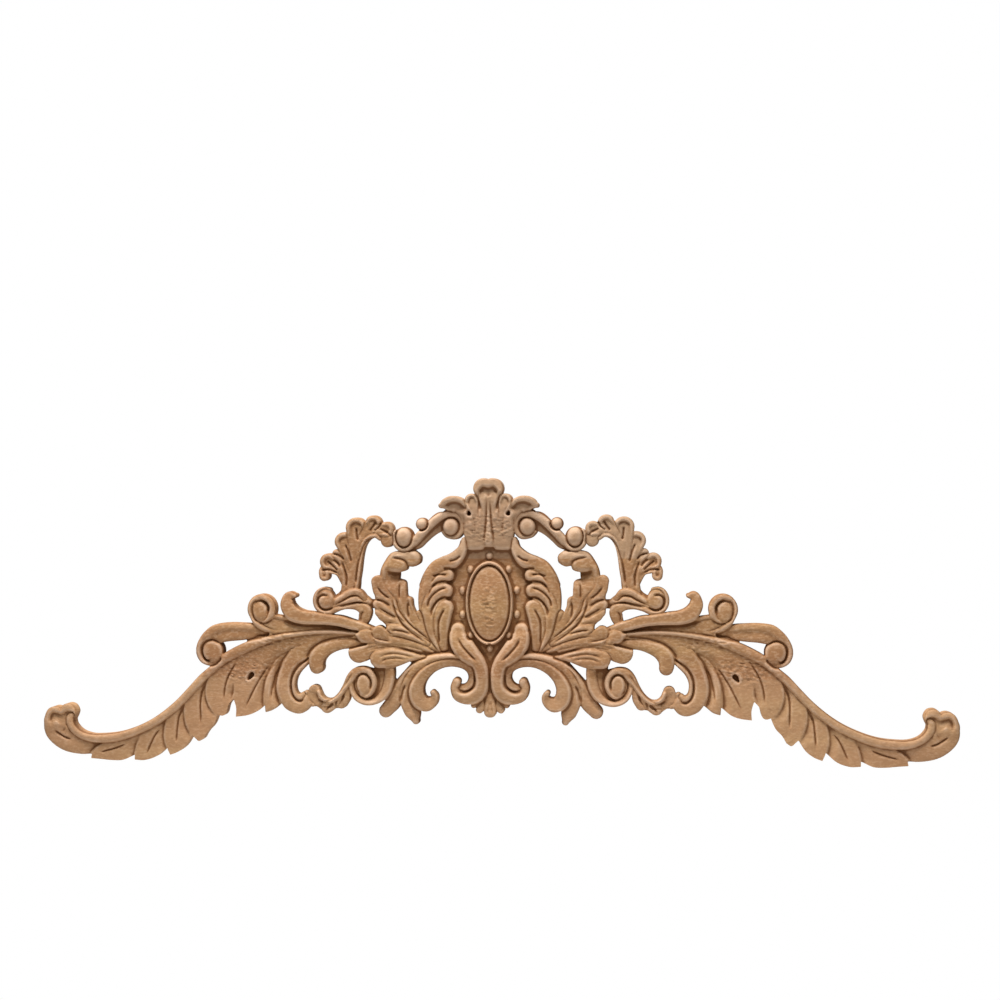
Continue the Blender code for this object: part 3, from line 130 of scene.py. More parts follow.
def smooth_path(points, spans=6):
    """A smooth curve through the points, which may have any number of columns."""
    p = np.asarray(points, float)
    if len(p) < 3:
        t = np.linspace(0.0, 1.0, spans + 1)[:, None]
        return p[0] * (1.0 - t) + p[-1] * t
    p = np.vstack([2 * p[0] - p[1], p, 2 * p[-1] - p[-2]])
    t = np.linspace(0.0, 1.0, spans, endpoint=False)[:, None]
    pieces = []
    for a, b, c, d in zip(p[:-3], p[1:-2], p[2:-1], p[3:]):
        pieces.append(0.5 * (2 * b + (c - a) * t + (2 * a - 5 * b + 4 * c - d) * t ** 2
                             + (3 * b - 3 * c + d - a) * t ** 3))
    pieces.append(p[-2:-1])
    return np.vstack(pieces)


def arc_stations(centre, radii, start, end, shrink=1.0, half_width=(2.0, 2.0), height=(12, 12)):
    """Stations on an elliptic spiral from one angle to another, in degrees from +X to +Z."""
    count = max(4, int(abs(end - start) / ARC_STEP) + 1)
    stations = []
    for t in np.linspace(0.0, 1.0, count):
        angle = math.radians(start + (end - start) * t)
        scale = 1.0 + (shrink - 1.0) * t
        stations.append((centre[0] + radii[0] * scale * math.cos(angle),
                         centre[1] + radii[1] * scale * math.sin(angle),
                         half_width[0] + (half_width[1] - half_width[0]) * t,
                         height[0] + (height[1] - height[0]) * t))
    return stations


def joined(*stretches):
    """An outline's stretches, where each but the first is given without its start, which is the
    corner where the one before it ends."""
    outline = [stretches[0]]
    for stretch in stretches[1:]:
        outline.append([outline[-1][-1], *stretch])
    return outline


def run_out(t, taper):
    """1 along a cut, and down to 0 over the taper's share of it at either end."""
    return smoothstep(t / taper) * smoothstep((1.0 - t) / taper)


class Relief:
    """Height field of the right half, in millimetres."""

    def __init__(self, step):
        self.step = step
        self.x = np.arange(0.0, HALF_WIDTH + 4 * step, step)
        self.z = np.arange(BOTTOM - 4 * step, TOP + 4 * step, step)
        size = (len(self.z), len(self.x))
        self.height = np.zeros(size)
        self.cover = np.zeros(size)
        self.edge = np.full(size, -10.0)

    def window(self, path, margin):
        """Cells round a path, with their x and z."""
        low = path[:, :2].min(axis=0) - margin
        high = path[:, :2].max(axis=0) + margin
        columns = slice(*np.searchsorted(self.x, (low[0], high[0])))
        rows = slice(*np.searchsorted(self.z, (low[1], high[1])))
        x, z = np.meshgrid(self.x[columns], self.z[rows])
        return (rows, columns), x, z

    def nearest(self, path, x, z):
        """Distance to a path, share along it, and signed offset to its left."""
        best = np.full(x.shape, 1e9)
        share = np.zeros(x.shape)
        side = np.zeros(x.shape)
        lengths = np.hypot(*np.diff(path[:, :2], axis=0).T)
        run = np.concatenate([[0.0], np.cumsum(lengths)])
        for k, (a, b) in enumerate(zip(path[:-1, :2], path[1:, :2])):
            d = b - a
            long = max(lengths[k], 1e-9)
            t = np.clip(((x - a[0]) * d[0] + (z - a[1]) * d[1]) / long ** 2, 0.0, 1.0)
            dist = np.hypot(x - a[0] - t * d[0], z - a[1] - t * d[1])
            offset = (d[0] * (z - a[1]) - d[1] * (x - a[0])) / long
            closer = dist < best
            best = np.where(closer, dist, best)
            side = np.where(closer, offset, side)
            share = np.where(closer, run[k] + t * long, share)
        return best, share, side, run

    def lay(self, cells, edge, height, fade=1.0):
        """Lays a form over what is there. edge is the distance inside its outline."""
        over = smoothstep(1.0 + edge / STEP_WIDTH) * fade
        below = self.cover[cells]
        total = over + (1.0 - over) * below
        mixed = over * height + (1.0 - over) * below * self.height[cells]
        self.height[cells] = np.where(total > 1e-6, mixed / np.maximum(total, 1e-6), 0.0)
        self.cover[cells] = total
        self.edge[cells] = np.maximum(self.edge[cells], edge)

    def stroke(self, stations, crown=2.0, dish=0.0, tilt=0.0, emerge=0.0, lip=0.0, scoop=0.0):
        """A band, blade or lobe. crown rounds it over, dish hollows it along its length, tilt
        lifts its left side, and emerge is the length over which it grows out of what lies under
        its start. scoop is the depth of the hollow behind a rolled lip at its far end."""
        path = smooth_path(stations)
        margin = path[:, 2].max() + 2 * STEP_WIDTH
        cells, x, z = self.window(path, margin)
        dist, share, side, run = self.nearest(path, x, z)
        width = np.interp(share, run, path[:, 2])
        u = np.clip(dist / width, 0.0, 1.0)
        height = np.interp(share, run, path[:, 3])
        height = height - crown * (1.0 - np.sqrt(1.0 - 0.96 * u * u))
        height = height - dish * (1.0 - u * u) ** 1.5
        height = height + tilt * np.clip(side / width, -1.0, 1.0)
        edge = width - dist
        if scoop:
            height = height - scoop * self.lobe_hollow(path, lip, x, z)
        height = height - round_over(edge)
        fade = smoothstep(share / emerge) if emerge else 1.0
        self.lay(cells, edge, height, fade)

    def lobe_hollow(self, path, lip, x, z):
        """Share of a hollow behind the rolled lip at a path's end: full under the lip, then
        running out towards the root and the flanks."""
        tip, before = path[-1], path[-3]
        ahead = (tip[:2] - before[:2]) / np.hypot(*(tip[:2] - before[:2]))
        reach = tip[2] - lip
        forward = (x - tip[0]) * ahead[0] + (z - tip[1]) * ahead[1]
        aside = (z - tip[1]) * ahead[0] - (x - tip[0]) * ahead[1]
        bow = np.sqrt(np.clip(1.0 - (aside / reach) ** 2, 0.0, 1.0))
        behind = reach * bow - forward
        runout = 1.0 - smoothstep(behind / (2.2 * tip[2]))
        return smoothstep(behind / COVE_WALL) * runout * smoothstep(bow / 0.9)

    def panel(self, stretches, height, pillow=1.0, reach=6.0, ramp=None, root=None, crisp=False):
        """A sheet inside an outline of smooth stretches that meet in corners. ramp is two points
        (x, z, extra height), between which the sheet rises or falls. root is two points, between
        which the sheet grows out of what lies under it. A crisp sheet has no rounded edge."""
        pieces = [smooth_path(stretch)[:-1] for stretch in stretches]
        path = np.vstack(pieces + [pieces[0][:1]])
        cells, x, z = self.window(path, 2 * STEP_WIDTH)
        dist, _, _, _ = self.nearest(path, x, z)
        inside = np.zeros(x.shape, bool)
        for a, b in zip(path[:-1], path[1:]):
            crosses = (a[1] > z) != (b[1] > z)
            rise = np.where(crosses, b[1] - a[1], 1.0)
            inside ^= crosses & (x < a[0] + (z - a[1]) * (b[0] - a[0]) / rise)
        edge = np.where(inside, dist, -dist)
        surface = height - pillow * (1.0 - np.clip(edge / reach, 0.0, 1.0)) ** 2
        if not crisp:
            surface = surface - round_over(edge)
        if ramp:
            (x0, z0, h0), (x1, z1, h1) = ramp
            surface = surface + h0 + (h1 - h0) * self.between(x, z, (x0, z0), (x1, z1))
        self.lay(cells, edge, surface, self.between(x, z, *root) if root else 1.0)

    def between(self, x, z, start, end):
        """0 at the start point, 1 at the end point, level across that line."""
        along = (end[0] - start[0], end[1] - start[1])
        long = along[0] ** 2 + along[1] ** 2
        return smoothstep(((x - start[0]) * along[0] + (z - start[1]) * along[1]) / long)

    def dome(self, x0, z0, rx, rz, base, rise, bulge=2.0):
        """A ball or boss on a short stem. A bulge above 2 makes it flatter on top."""
        ring = np.array([(x0 - rx, z0 - rz), (x0 + rx, z0 + rz)])
        cells, x, z = self.window(ring, 2 * STEP_WIDTH)
        u = np.hypot((x - x0) / rx, (z - z0) / rz)
        height = base + rise * np.sqrt(np.clip(1.0 - u ** bulge, 0.0, 1.0))
        self.lay(cells, (1.0 - u) * min(rx, rz), height)

    def groove(self, points, depth, half_width=VEIN, taper=0.25):
        """A V cut along a line, running out at both ends."""
        path = smooth_path(points)
        cells, x, z = self.window(path, half_width + self.step)
        dist, share, _, run = self.nearest(path, x, z)
        cut = depth * run_out(share / run[-1], taper) * np.clip(1.0 - dist / half_width, 0.0, 1.0)
        self.height[cells] = self.height[cells] - cut

    def cove(self, points, depth, reach, taper=0.2, wall=COVE_WALL):
        """A hollow cut on the right of a line: its wall stands on the line, and its floor rises
        back over the reach. It runs out at both ends."""
        path = smooth_path(points)
        cells, x, z = self.window(path, reach + self.step)
        dist, share, side, run = self.nearest(path, x, z)
        away = np.where(side < 0.0, dist, 0.0)
        profile = smoothstep(away / wall) * (1.0 - smoothstep(away / reach))
        self.height[cells] = self.height[cells] - depth * run_out(share / run[-1], taper) * profile

    def pit(self, x0, z0, length, half_width, angle, floor):
        """A drop-shaped drilled eye, blind, its narrow end down the angle in degrees."""
        turn = math.radians(angle)
        reach = length + half_width
        box = np.array([(x0 - reach, z0 - reach), (x0 + reach, z0 + reach)])
        cells, x, z = self.window(box, self.step)
        along = ((x - x0) * math.cos(turn) + (z - z0) * math.sin(turn)) / length
        across = (-(x - x0) * math.sin(turn) + (z - z0) * math.cos(turn)) / half_width
        u = np.hypot(along, across * (1.0 + 0.45 * along))
        deep = smoothstep((1.15 - u) / 0.4)
        self.height[cells] = self.height[cells] * (1.0 - deep) + floor * deep


def round_over(edge):
    """How far a form's surface has dropped at this distance inside its outline."""
    t = 1.0 - np.clip(edge / EDGE_ROUND, 0.0, 1.0)
    return EDGE_ROUND * (1.0 - np.sqrt(1.0 - 0.98 * t * t))


def carve_grounds(r):
    """Recessed grounds that join the leaves and scrolls."""
    r.panel(joined(
        [(0, 52), (20, 52)],
        [(30, 40), (46, 28), (54, 10), (54, -10), (48, -30)],
        [(40, -47), (28, -50)],
        [(15, -58), (12, -70), (6, -86)],
        [(0, -88)],
        [(-3, 0), (0, 52)]), GROUND, pillow=0)
    r.panel(joined(
        [(86, -52), (103.6, -51)],
        [(102.4, -59.6)],
        [(110, -58.5), (121, -63), (124, -76), (117, -86), (104, -88.5), (94, -85), (88, -76),
         (86, -62), (86, -52)]), 6.5, pillow=0, ramp=((91, -66, 2.6), (100, -64, 0)))
    for band in (
            [(84.6, -69.4, 1.6, 8), (88, -78, 2.4, 8)],
            [(14.6, -58, 1.8, 9), (13, -68, 1.8, 9), (15, -76, 2, 9), (22, -79.6, 2, 9), (28, -76.4, 2, 9)],
            [(44, -46, 2.4, 9), (62, -43.4, 3.6, 9), (80, -39.6, 4, 10), (96, -38, 4, 11)],
            [(58, -49.6, 1.6, 8), (67.6, -53, 2.2, 8)],
            [(66, -53.4, 2, 8), (74.6, -63, 2, 8), (81.8, -71, 2, 8)],
            [(79, 50, 3, 9), (84, 57.6, 3.2, 9)],
            [(66, 42, 2.4, 9), (74, 44.4, 2.4, 9)],
            [(178, -28.4, 1.6, 9), (186, -28.9, 1.8, 9), (200, -31, 1.8, 9), (214, -34.6, 1.6, 9)],
            [(30, 79.6, 1.8, 9), (38.2, 77.8, 1.8, 9)]):
        r.stroke(band, crown=0)
    r.stroke([(97, -2.4, 3.6, 8), (103, -2.5, 3.9, 7.5), (109, -2.4, 3.9, 8)], crown=0.6)
    for x, z, rx, rz in (
            (32.6, 66, 10.8, 11.6), (75, 55, 9, 10), (202, -7.4, 11, 12), (247.2, -44, 10.6, 10.8),
            (146, 0.8, 9.4, 11)):
        r.dome(x, z, rx, rz, 7.5, 0)
    r.panel(joined(
        [(112, -30), (140, -27.6), (166, -28), (192, -32.6), (216, -41.6), (240, -56), (258, -71),
         (275, -90), (292, -103), (312, -114), (335, -122), (353, -126)],
        [(345, -134)],
        [(325, -130), (305, -126), (285, -118), (262, -104), (240, -92), (228, -84), (200, -82),
         (181, -76), (172, -57), (160, -47), (140, -36), (112, -33)],
        [(112, -30)]), WING_SHEET, pillow=0)
    r.panel(joined(
        [(112, -25.4), (128, -21.5), (146, -18.6), (164, -17.6), (177, -15.2)],
        [(186, -13.2), (194, -12.4)],
        [(206, -18), (207, -24)],
        [(212, -32.4), (204, -31), (186, -28.5), (165, -27), (139, -26.4), (112, -27.6)],
        [(112, -25.4)]), 11.5, pillow=0, ramp=((112, -24, -4.5), (176, -22, 0)))
    r.cove([
        (118, -23.4), (128, -21.6), (143, -19.4), (160, -18.8), (171, -18), (178.4, -15.2), (184, -12)],
        3.4, 7, taper=0.12)


def carve_palmette(r):
    """Small leaf that hangs between the two lower scrolls."""
    r.stroke([(2, -82, 4, 8), (8, -88, 3.2, 9), (14.6, -91, 2.3, 9)], crown=1)
    r.stroke([(1, -84, 4, 8), (5, -90, 4, 10), (9.3, -94.6, 3.2, 10)], crown=1.2)
    r.stroke([(0, -84, 4.5, 9), (0, -92, 5, 11), (0.6, -96.6, 4.7, 11)], crown=1.5)
    r.groove([(0.5, -86), (1, -92), (3, -98)], 1.2)


def carve_lower_leaf(r):
    """Big leaf that curls in below: two blades, then the hooked band over them."""
    r.stroke([
        (23, -50, 1.3, 14), (32, -48, 2.5, 15), (42, -48.3, 2.9, 15), (52, -51, 3.8, 14.5),
        (60.8, -55.8, 4.6, 13.5), (70.6, -63.6, 5, 12.5), (78, -73.8, 5.2, 11), (84.6, -87.4, 6.7, 10),
        (92.2, -96.2, 6, 9.5)], crown=3)
    r.stroke([
        (60, -56, 4, 13), (69, -67, 5, 12), (74, -79, 5.2, 11), (73.2, -88.5, 5.7, 10.5),
        (68.2, -97.4, 6.7, 10), (65.4, -104.8, 3.2, 9)], crown=3, tilt=1.5, emerge=16)
    r.groove([(73.5, -71), (77, -79), (79, -89)], 3, 2)
    r.cove([(80, -72), (86, -80), (91.6, -88), (95.4, -95)], 1.4, 7.5, taper=0.3, wall=2.6)
    r.stroke([
        (27.5, -74.6, 1.9, 11), (22, -75.2, 3.1, 11.5), (17.6, -72, 3.3, 12), (16.1, -66, 2.8, 12.5),
        (17.6, -60, 3.2, 13), (22.3, -55.6, 3.7, 13.5), (30, -53.6, 3.6, 14), (38, -53.8, 3.6, 14.5),
        (46, -56, 4, 15), (54, -60.8, 4.5, 15), (60.8, -68.4, 5.2, 15), (64.2, -78, 6.4, 14.5),
        (62, -86.3, 6.8, 13.5), (56, -89.7, 6.6, 12.5), (50.6, -87.3, 4.9, 12), (48.6, -83, 3.3, 12.5),
        (50.2, -79.8, 2.3, 13)], crown=2.6, dish=0.8, tilt=1)


def carve_lower_scroll(r):
    """S scroll below the cabochon, with one long vein."""
    r.stroke([
        (27.8, -25.2, 6, 14), (27.6, -30, 7.4, 15.4), (25.4, -36.4, 8.8, 16.4), (20.4, -42.8, 8.9, 17),
        (14.6, -48.4, 7.4, 17), (9.8, -53.5, 6, 16.5), (7.1, -61, 5.8, 16), (6.7, -69.5, 5.8, 15.5),
        (8.4, -77.4, 6.1, 15), (13.4, -82.8, 6.2, 14.5), (21.2, -84.6, 5.1, 14), (28.3, -82, 4.5, 13.5),
        (31.2, -75.6, 3.4, 13), (29.2, -70.2, 3.7, 13.5)], crown=2.4, tilt=0.8)
    r.groove([
        (27.4, -30.5), (26, -34.4), (22.8, -39.5), (17.9, -45), (13.5, -49.4), (9.6, -53)], 2.6, 1.4)
    r.groove([(13.4, -62), (12.9, -73), (17.5, -77.8), (22.5, -79.6), (27, -78.3), (28.6, -75)], 3, 1.6)


def carve_frame_leaf(r):
    """Leaf that frames the cabochon: one curved sheet, its fingers turned inwards."""
    r.panel([
        [(21.8, 53), (22, 45), (26, 38.5), (33, 33.5), (37, 28)],
        [(37, 28), (37.4, 16), (37.8, 4), (37.4, -8), (36.8, -30), (37.4, -42.4)],
        [(37.4, -42.4), (44, -44)],
        [(44, -44), (51, -37), (57, -25), (61.4, -10), (62.4, 3), (60.8, 14), (56.4, 22), (49.2, 30.2),
         (41.3, 36.6), (33.4, 41.2), (27.4, 46.6), (25, 53)],
        [(25.2, 53), (21.8, 53)]], 13.6, pillow=1.4, reach=9)
    r.stroke([
        (40.6, -41, 3, 11.5), (41.2, -34, 4.6, 12.6), (42.2, -25, 6.4, 13.6), (41.2, -14, 7.2, 14.2),
        (38.4, -5.6, 6.6, 14.4)], crown=1.2)
    r.stroke([
        (57, -14, 3, 12.5), (54.5, -4, 4.6, 13.4), (50, 4, 5.6, 14), (44.6, 8.4, 6, 14.4),
        (38.4, 9.4, 5.9, 14.4)], crown=1.1, emerge=10)
    r.stroke([
        (58, 2, 3, 12.8), (54.5, 13, 4.2, 13.6), (49, 20, 4.9, 14.4), (43, 22.6, 5.3, 14.6),
        (36.6, 23, 5.3, 14.6)], crown=1.1, emerge=10)
    r.stroke([
        (57, 14, 4.4, 13.4), (53, 22, 5, 14), (47, 29.4, 5.6, 14.6), (40, 33, 6, 15),
        (32.2, 35.6, 6.4, 15.2), (26.6, 40.6, 5.4, 15), (22.8, 47, 3.7, 14.4), (21.8, 53.5, 2.4, 13.4)],
        crown=1.3, emerge=10)
    for step in (
            [(30, 27.8), (35, 29), (40.5, 28.6)],
            [(30, 17), (37, 17.9), (40.8, 17.7), (45.2, 16.8), (49, 14), (51, 11)],
            [(32, 2.6), (38.6, 4), (43, 2.3), (47.3, -2), (50.1, -7.5), (51.4, -15)]):
        r.groove(step, 2.8, 1.5, taper=0.18)
    for vein in (
            [(36.8, 23.2), (43, 23.5), (50, 22)],
            [(36.6, 11.4), (41, 11.2), (46, 8.6), (50, 5), (53, 0.6), (54.4, -6)],
            [(38.6, -5.6), (42, -11.6), (44.4, -18), (44.7, -27), (44, -38)],
            [(24.8, 40), (28.8, 36.8), (34.8, 35)]):
        r.groove(vein, 2.7, taper=0.14)


def carve_cabochon(r):
    """Rim, sunk line and domed oval, with beads round it."""
    r.dome(0, CABOCHON_Z, CABOCHON_RIM[0], CABOCHON_RIM[1], 14.3, 0.8, bulge=5)
    r.dome(0, CABOCHON_Z, CABOCHON[0] + 0.4, CABOCHON[1] + 0.4, 11.6, 3.4, bulge=2.4)
    ring = [(CABOCHON[0] * math.sin(a), CABOCHON_Z + CABOCHON[1] * math.cos(a))
            for a in np.linspace(-0.3, math.pi + 0.3, 28)]
    r.groove(ring, 2.6, taper=0.01)
    for x, z in ((0, 39.5), (16.6, 27.8), (23.7, 9.5), (23.7, -11.5), (16.8, -29.8), (0, -41)):
        r.dome(x, z, 2.7, 3.4, GROUND, 3.6)


def carve_crown(r):
    """Crown leaf: body with a middle rib, and three lobes a side that roll forward at the top."""
    r.panel(joined(
        [(0, 47.5), (4, 47.4), (6, 45.6), (12, 45), (17, 45)],
        [(19, 46.6), (20, 53), (21.6, 57.6), (21.6, 62), (21, 70), (22, 80), (20, 88)],
        [(-3, 88)],
        [(-3, 47.5)],
        [(0, 47.5)]), 15.2, pillow=1.5, ramp=((0, 46, -1.2), (0, 80, 2)))
    r.stroke([(13, 66, 4.5, 15), (14, 79, 5, 17), (14.6, 87.8, 6, 18.4)], crown=1.2, emerge=18)
    r.cove([
        (9.4, 80), (9.8, 87), (12.2, 91.2), (15.6, 91.6), (18.4, 88.4), (18.8, 81)], 2.2, 10,
        taper=0.25)
    r.stroke([
        (17.5, 62, 4.5, 15), (19.5, 75, 5.6, 16.5), (24.8, 83, 6.3, 18), (31, 85.2, 6.7, 18.6),
        (37.4, 84.6, 5.2, 18), (41.4, 83.4, 2.3, 17)], crown=1.4, tilt=1.6, emerge=18)
    r.cove([
        (17.6, 76), (19.6, 83), (24, 87), (29.4, 88.4), (34, 87.8), (38, 85.8), (42.6, 82.2)], 4.2, 14,
        taper=0.25, wall=2.6)
    r.stroke([
        (0.5, 72, 4, 16), (1.6, 84, 5.4, 18), (2.6, 91, 7.8, 19), (3.8, 98, 9.1, 19.8)], crown=1.2,
        emerge=14)
    r.cove([
        (-10, 86), (-10.2, 93), (-9, 98), (-5, 101.6), (0, 101), (5, 101.6), (9, 98), (10.2, 93),
        (10, 86)], 4.6, 17, taper=0.3, wall=3.4)
    r.groove([(12.6, 95.5), (9.9, 92), (8.2, 86), (7.4, 78)], 3, 1.6)
    r.groove([(22, 89.5), (20.2, 85), (18.8, 78)], 2.2, 1.6)
    r.stroke([
        (0, 82, 0.7, 17.4), (0, 75, 1.5, 17), (0, 62, 2.2, 16.4), (0, 52.6, 3.6, 15.6)], crown=0.6,
        emerge=8)
    r.groove([(0.8, 94), (2, 78), (3, 64), (5, 49)], 1.7)
    r.groove([(12.4, 76), (12, 66), (11.2, 56)], 0.8, 1.6, taper=0.4)
    r.pit(17.2, 77, 2.2, 1.4, 80, 8)


def carve_arm(r):
    """C scroll that springs from the crown: dish, raised rail, balls."""
    r.stroke([
        (37, 66.6, 5.5, 9), (41, 70, 8.2, 9), (47.5, 66.4, 7.4, 9.5), (53, 61.2, 5.8, 9.5),
        (58.5, 55.4, 5, 10), (64, 50.6, 5.2, 10), (70, 47, 3.4, 10)], crown=0.5)
    rail = [(40.5, 60.6, 1.3, 11), (36.6, 57, 1.8, 12)]
    rail += arc_stations((32.4, 65.8), (9.3, 10.2), 250, 80, 1.03, (2.3, 2.8), (12.5, 14))
    rail += [
        (39.5, 75.2, 3.1, 14.6), (45, 72.2, 3.1, 15), (50, 68.2, 3.2, 15), (55, 63.4, 3.2, 15),
        (60.5, 57.8, 3.5, 14.5), (65, 52.6, 3.4, 14)]
    rail += arc_stations((74.6, 54.6), (8.4, 9.2), 215, 400, 1, (2.3, 2.3), (13.5, 15))
    r.stroke(rail, crown=1.5)
    r.dome(33.4, 65, 6.9, 7.6, 10.6, 5.6, bulge=2.6)
    r.dome(59, 67.4, 5.5, 5.6, 8, 7)
    r.dome(74.8, 56, 7.2, 8.8, 10, 7, bulge=2.4)


def carve_upright_leaf(r):
    """Leaf that stands out beside the frame leaf, its tip folded over under the outer ball."""
    r.panel([
        [(44, -45), (54, -30), (59, -12), (62, -7.6), (66, -11)],
        [(66.5, -11), (67.6, -6), (68, -1), (70, 3), (72.6, 4.6)],
        [(72.8, 6), (73, 12), (74.2, 16.4), (77, 18.8), (79.4, 19.6)],
        [(79.4, 19.6), (79, 24), (79.6, 32), (85.6, 42)],
        [(85.6, 42), (90.4, 36.4), (94, 29.6), (95.6, 22)],
        [(96, 21), (101, 10), (100.5, 2)],
        [(101.4, -4), (99.8, -11.4), (94, -18), (91.4, -20.6)],
        [(91.4, -20.6), (90, -30)],
        [(90, -30), (72, -34), (58, -39), (44, -45)]], 12, pillow=0.8)
    r.stroke([
        (60, -24, 2.4, 11.4), (66, -15, 3.4, 11.8), (70.4, -6, 3.6, 12.2), (71.2, 0.3, 3.5, 12.6)],
        crown=0.8, dish=0.4, emerge=10)
    r.stroke([
        (68, -16, 3, 11.6), (74, -6, 4, 12), (76.6, 5, 4, 12.4), (77.2, 14.9, 4, 13)], crown=0.8,
        dish=0.4, emerge=12)
    r.stroke([
        (74, -23, 3, 11.4), (84, -15.4, 4, 12), (92, -12.8, 5.4, 12.4), (96.8, -9.6, 4, 12.4)],
        crown=0.8, emerge=8)
    r.stroke([
        (78, -15, 3, 11.6), (86, -9, 4.4, 12), (94, -4.6, 4.6, 12.4), (99, -2.6, 3.6, 12.2)], crown=0.8,
        emerge=8)
    r.stroke([
        (80, -9, 3, 11.6), (88, 1, 4.8, 12.2), (95.5, 8, 6, 13), (98.4, 17.2, 5.4, 13.4)], crown=0.8,
        dish=0.6, emerge=12)
    r.cove([(66, 28), (75, 27), (83, 27), (92, 27.6)], 6, 16, taper=0.4)
    r.panel(joined(
        [(59.6, 38.3), (60.6, 33.6), (66.2, 30.3), (71.4, 30.8)],
        [(72.8, 27.4), (77.6, 25.6), (84, 25.8), (89, 26.6)],
        [(90.4, 20), (92, 12)],
        [(95.4, 12.4)],
        [(96.2, 22), (94.8, 29), (91, 36.2), (86.4, 42), (80, 44.2), (72, 44.6), (65, 43.6),
         (61.2, 41.2), (59.6, 38.3)]), 14.6, pillow=2.2, reach=4.5, root=((93.6, 12), (91, 29)))
    r.groove([(71.2, 29.8), (72.8, 34.4), (76.6, 36.8), (82.3, 38), (86.4, 37.6)], 2.4, 1.5)
    r.groove([(66, 40.8), (72, 41.4), (80, 41.6), (86, 39.8)], 0.8, 1.4)
    r.stroke([
        (54, -37, 2, 11.6), (63, -32.6, 2.9, 12.4), (72, -28.4, 4.1, 13), (80, -25.4, 5, 13.2),
        (85.6, -24.9, 5.3, 13.2)], crown=1.2)
    for vein in (
            [(66.9, -29.8), (74.5, -26.6), (82.1, -25.2), (87.6, -25.6)],
            [(78.6, 17), (79.4, 10), (79, 1)],
            [(71.4, 0), (72, -7.4), (70.6, -15)],
            [(99, 13.4), (94.5, 7.4), (87, 1.6)],
            [(101.5, 2), (94, 0.4), (86, -5)],
            [(98.6, -5), (89.4, -10.2), (80, -15.4)],
            [(49, -37), (57.2, -30.4), (68, -21.8), (76.2, -13), (80.8, -4), (82.6, 8)],
            [(51, -39.6), (62.9, -31.4), (72, -24.6), (79.4, -16.2), (84.2, -5), (86, 7)]):
        r.groove(vein, 2.5)


def carve_knot(r):
    """Knot of leaf ends where the wing springs."""
    r.stroke([
        (50, -44, 1.4, 11), (66, -38, 2.4, 12), (80, -34.8, 3.1, 12.6), (92, -33.8, 3.6, 13),
        (101, -32.2, 4.4, 13.5)], crown=0.6)
    r.panel(joined(
        [(97, -29), (103, -25.6), (108, -24.4), (113.3, -25.6), (118, -29.4)],
        [(115.8, -32.8), (112.3, -35.8), (104, -36.8), (96, -36.8)],
        [(97, -29)]), 13.8, pillow=0.8, reach=4.5, root=((92, -33), (103, -31.5)))
    r.stroke([
        (84, -33, 2.6, 11.6), (91, -30.2, 4.4, 12.6), (97.4, -27.2, 5.9, 13.6)], crown=1, tilt=0.4,
        emerge=7)
    r.cove([(96.4, -35.4), (99.8, -34), (102.4, -29.6), (103.2, -25.4), (101.6, -21.6)], 1.6, 5)


def carve_side_leaves(r):
    """Two leaves that lie along the big leaf and end in broad round lobes."""
    r.stroke([
        (60, -43, 1.4, 11.5), (76, -39.8, 1.8, 12), (90, -40, 3, 12.5), (102, -42, 6, 13),
        (109, -43.6, 8.4, 13), (114.8, -44.4, 9.6, 13)], crown=1)
    for vein in (
            [(63.7, -47.2), (70.2, -43.2), (77.8, -40.4), (86.4, -39.6), (96.1, -40.4), (104.7, -42.6),
             (111, -45.6)],
            [(80, -42), (90, -41.8), (99, -43.8), (106, -47)],
            [(84, -38.2), (94, -38.2), (103, -40), (110, -42)]):
        r.groove(vein, 1.5, 1.2)
    r.cove([(105.4, -54), (103.4, -48.4), (98, -44.6), (90, -42)], 1.2, 5)
    r.stroke([
        (57, -48.4, 1.2, 11), (62, -48.9, 2.3, 12), (70, -48.4, 4.2, 13), (83, -49.4, 8, 14),
        (92, -50, 8.1, 14), (97.5, -50.6, 7.5, 14)], crown=1.4)
    for vein in (
            [(64, -49.6), (74, -47), (84, -45.6), (93, -47), (99, -51)],
            [(72, -51), (82, -49.4), (91, -50.4), (97, -54)]):
        r.groove(vein, 1.5)


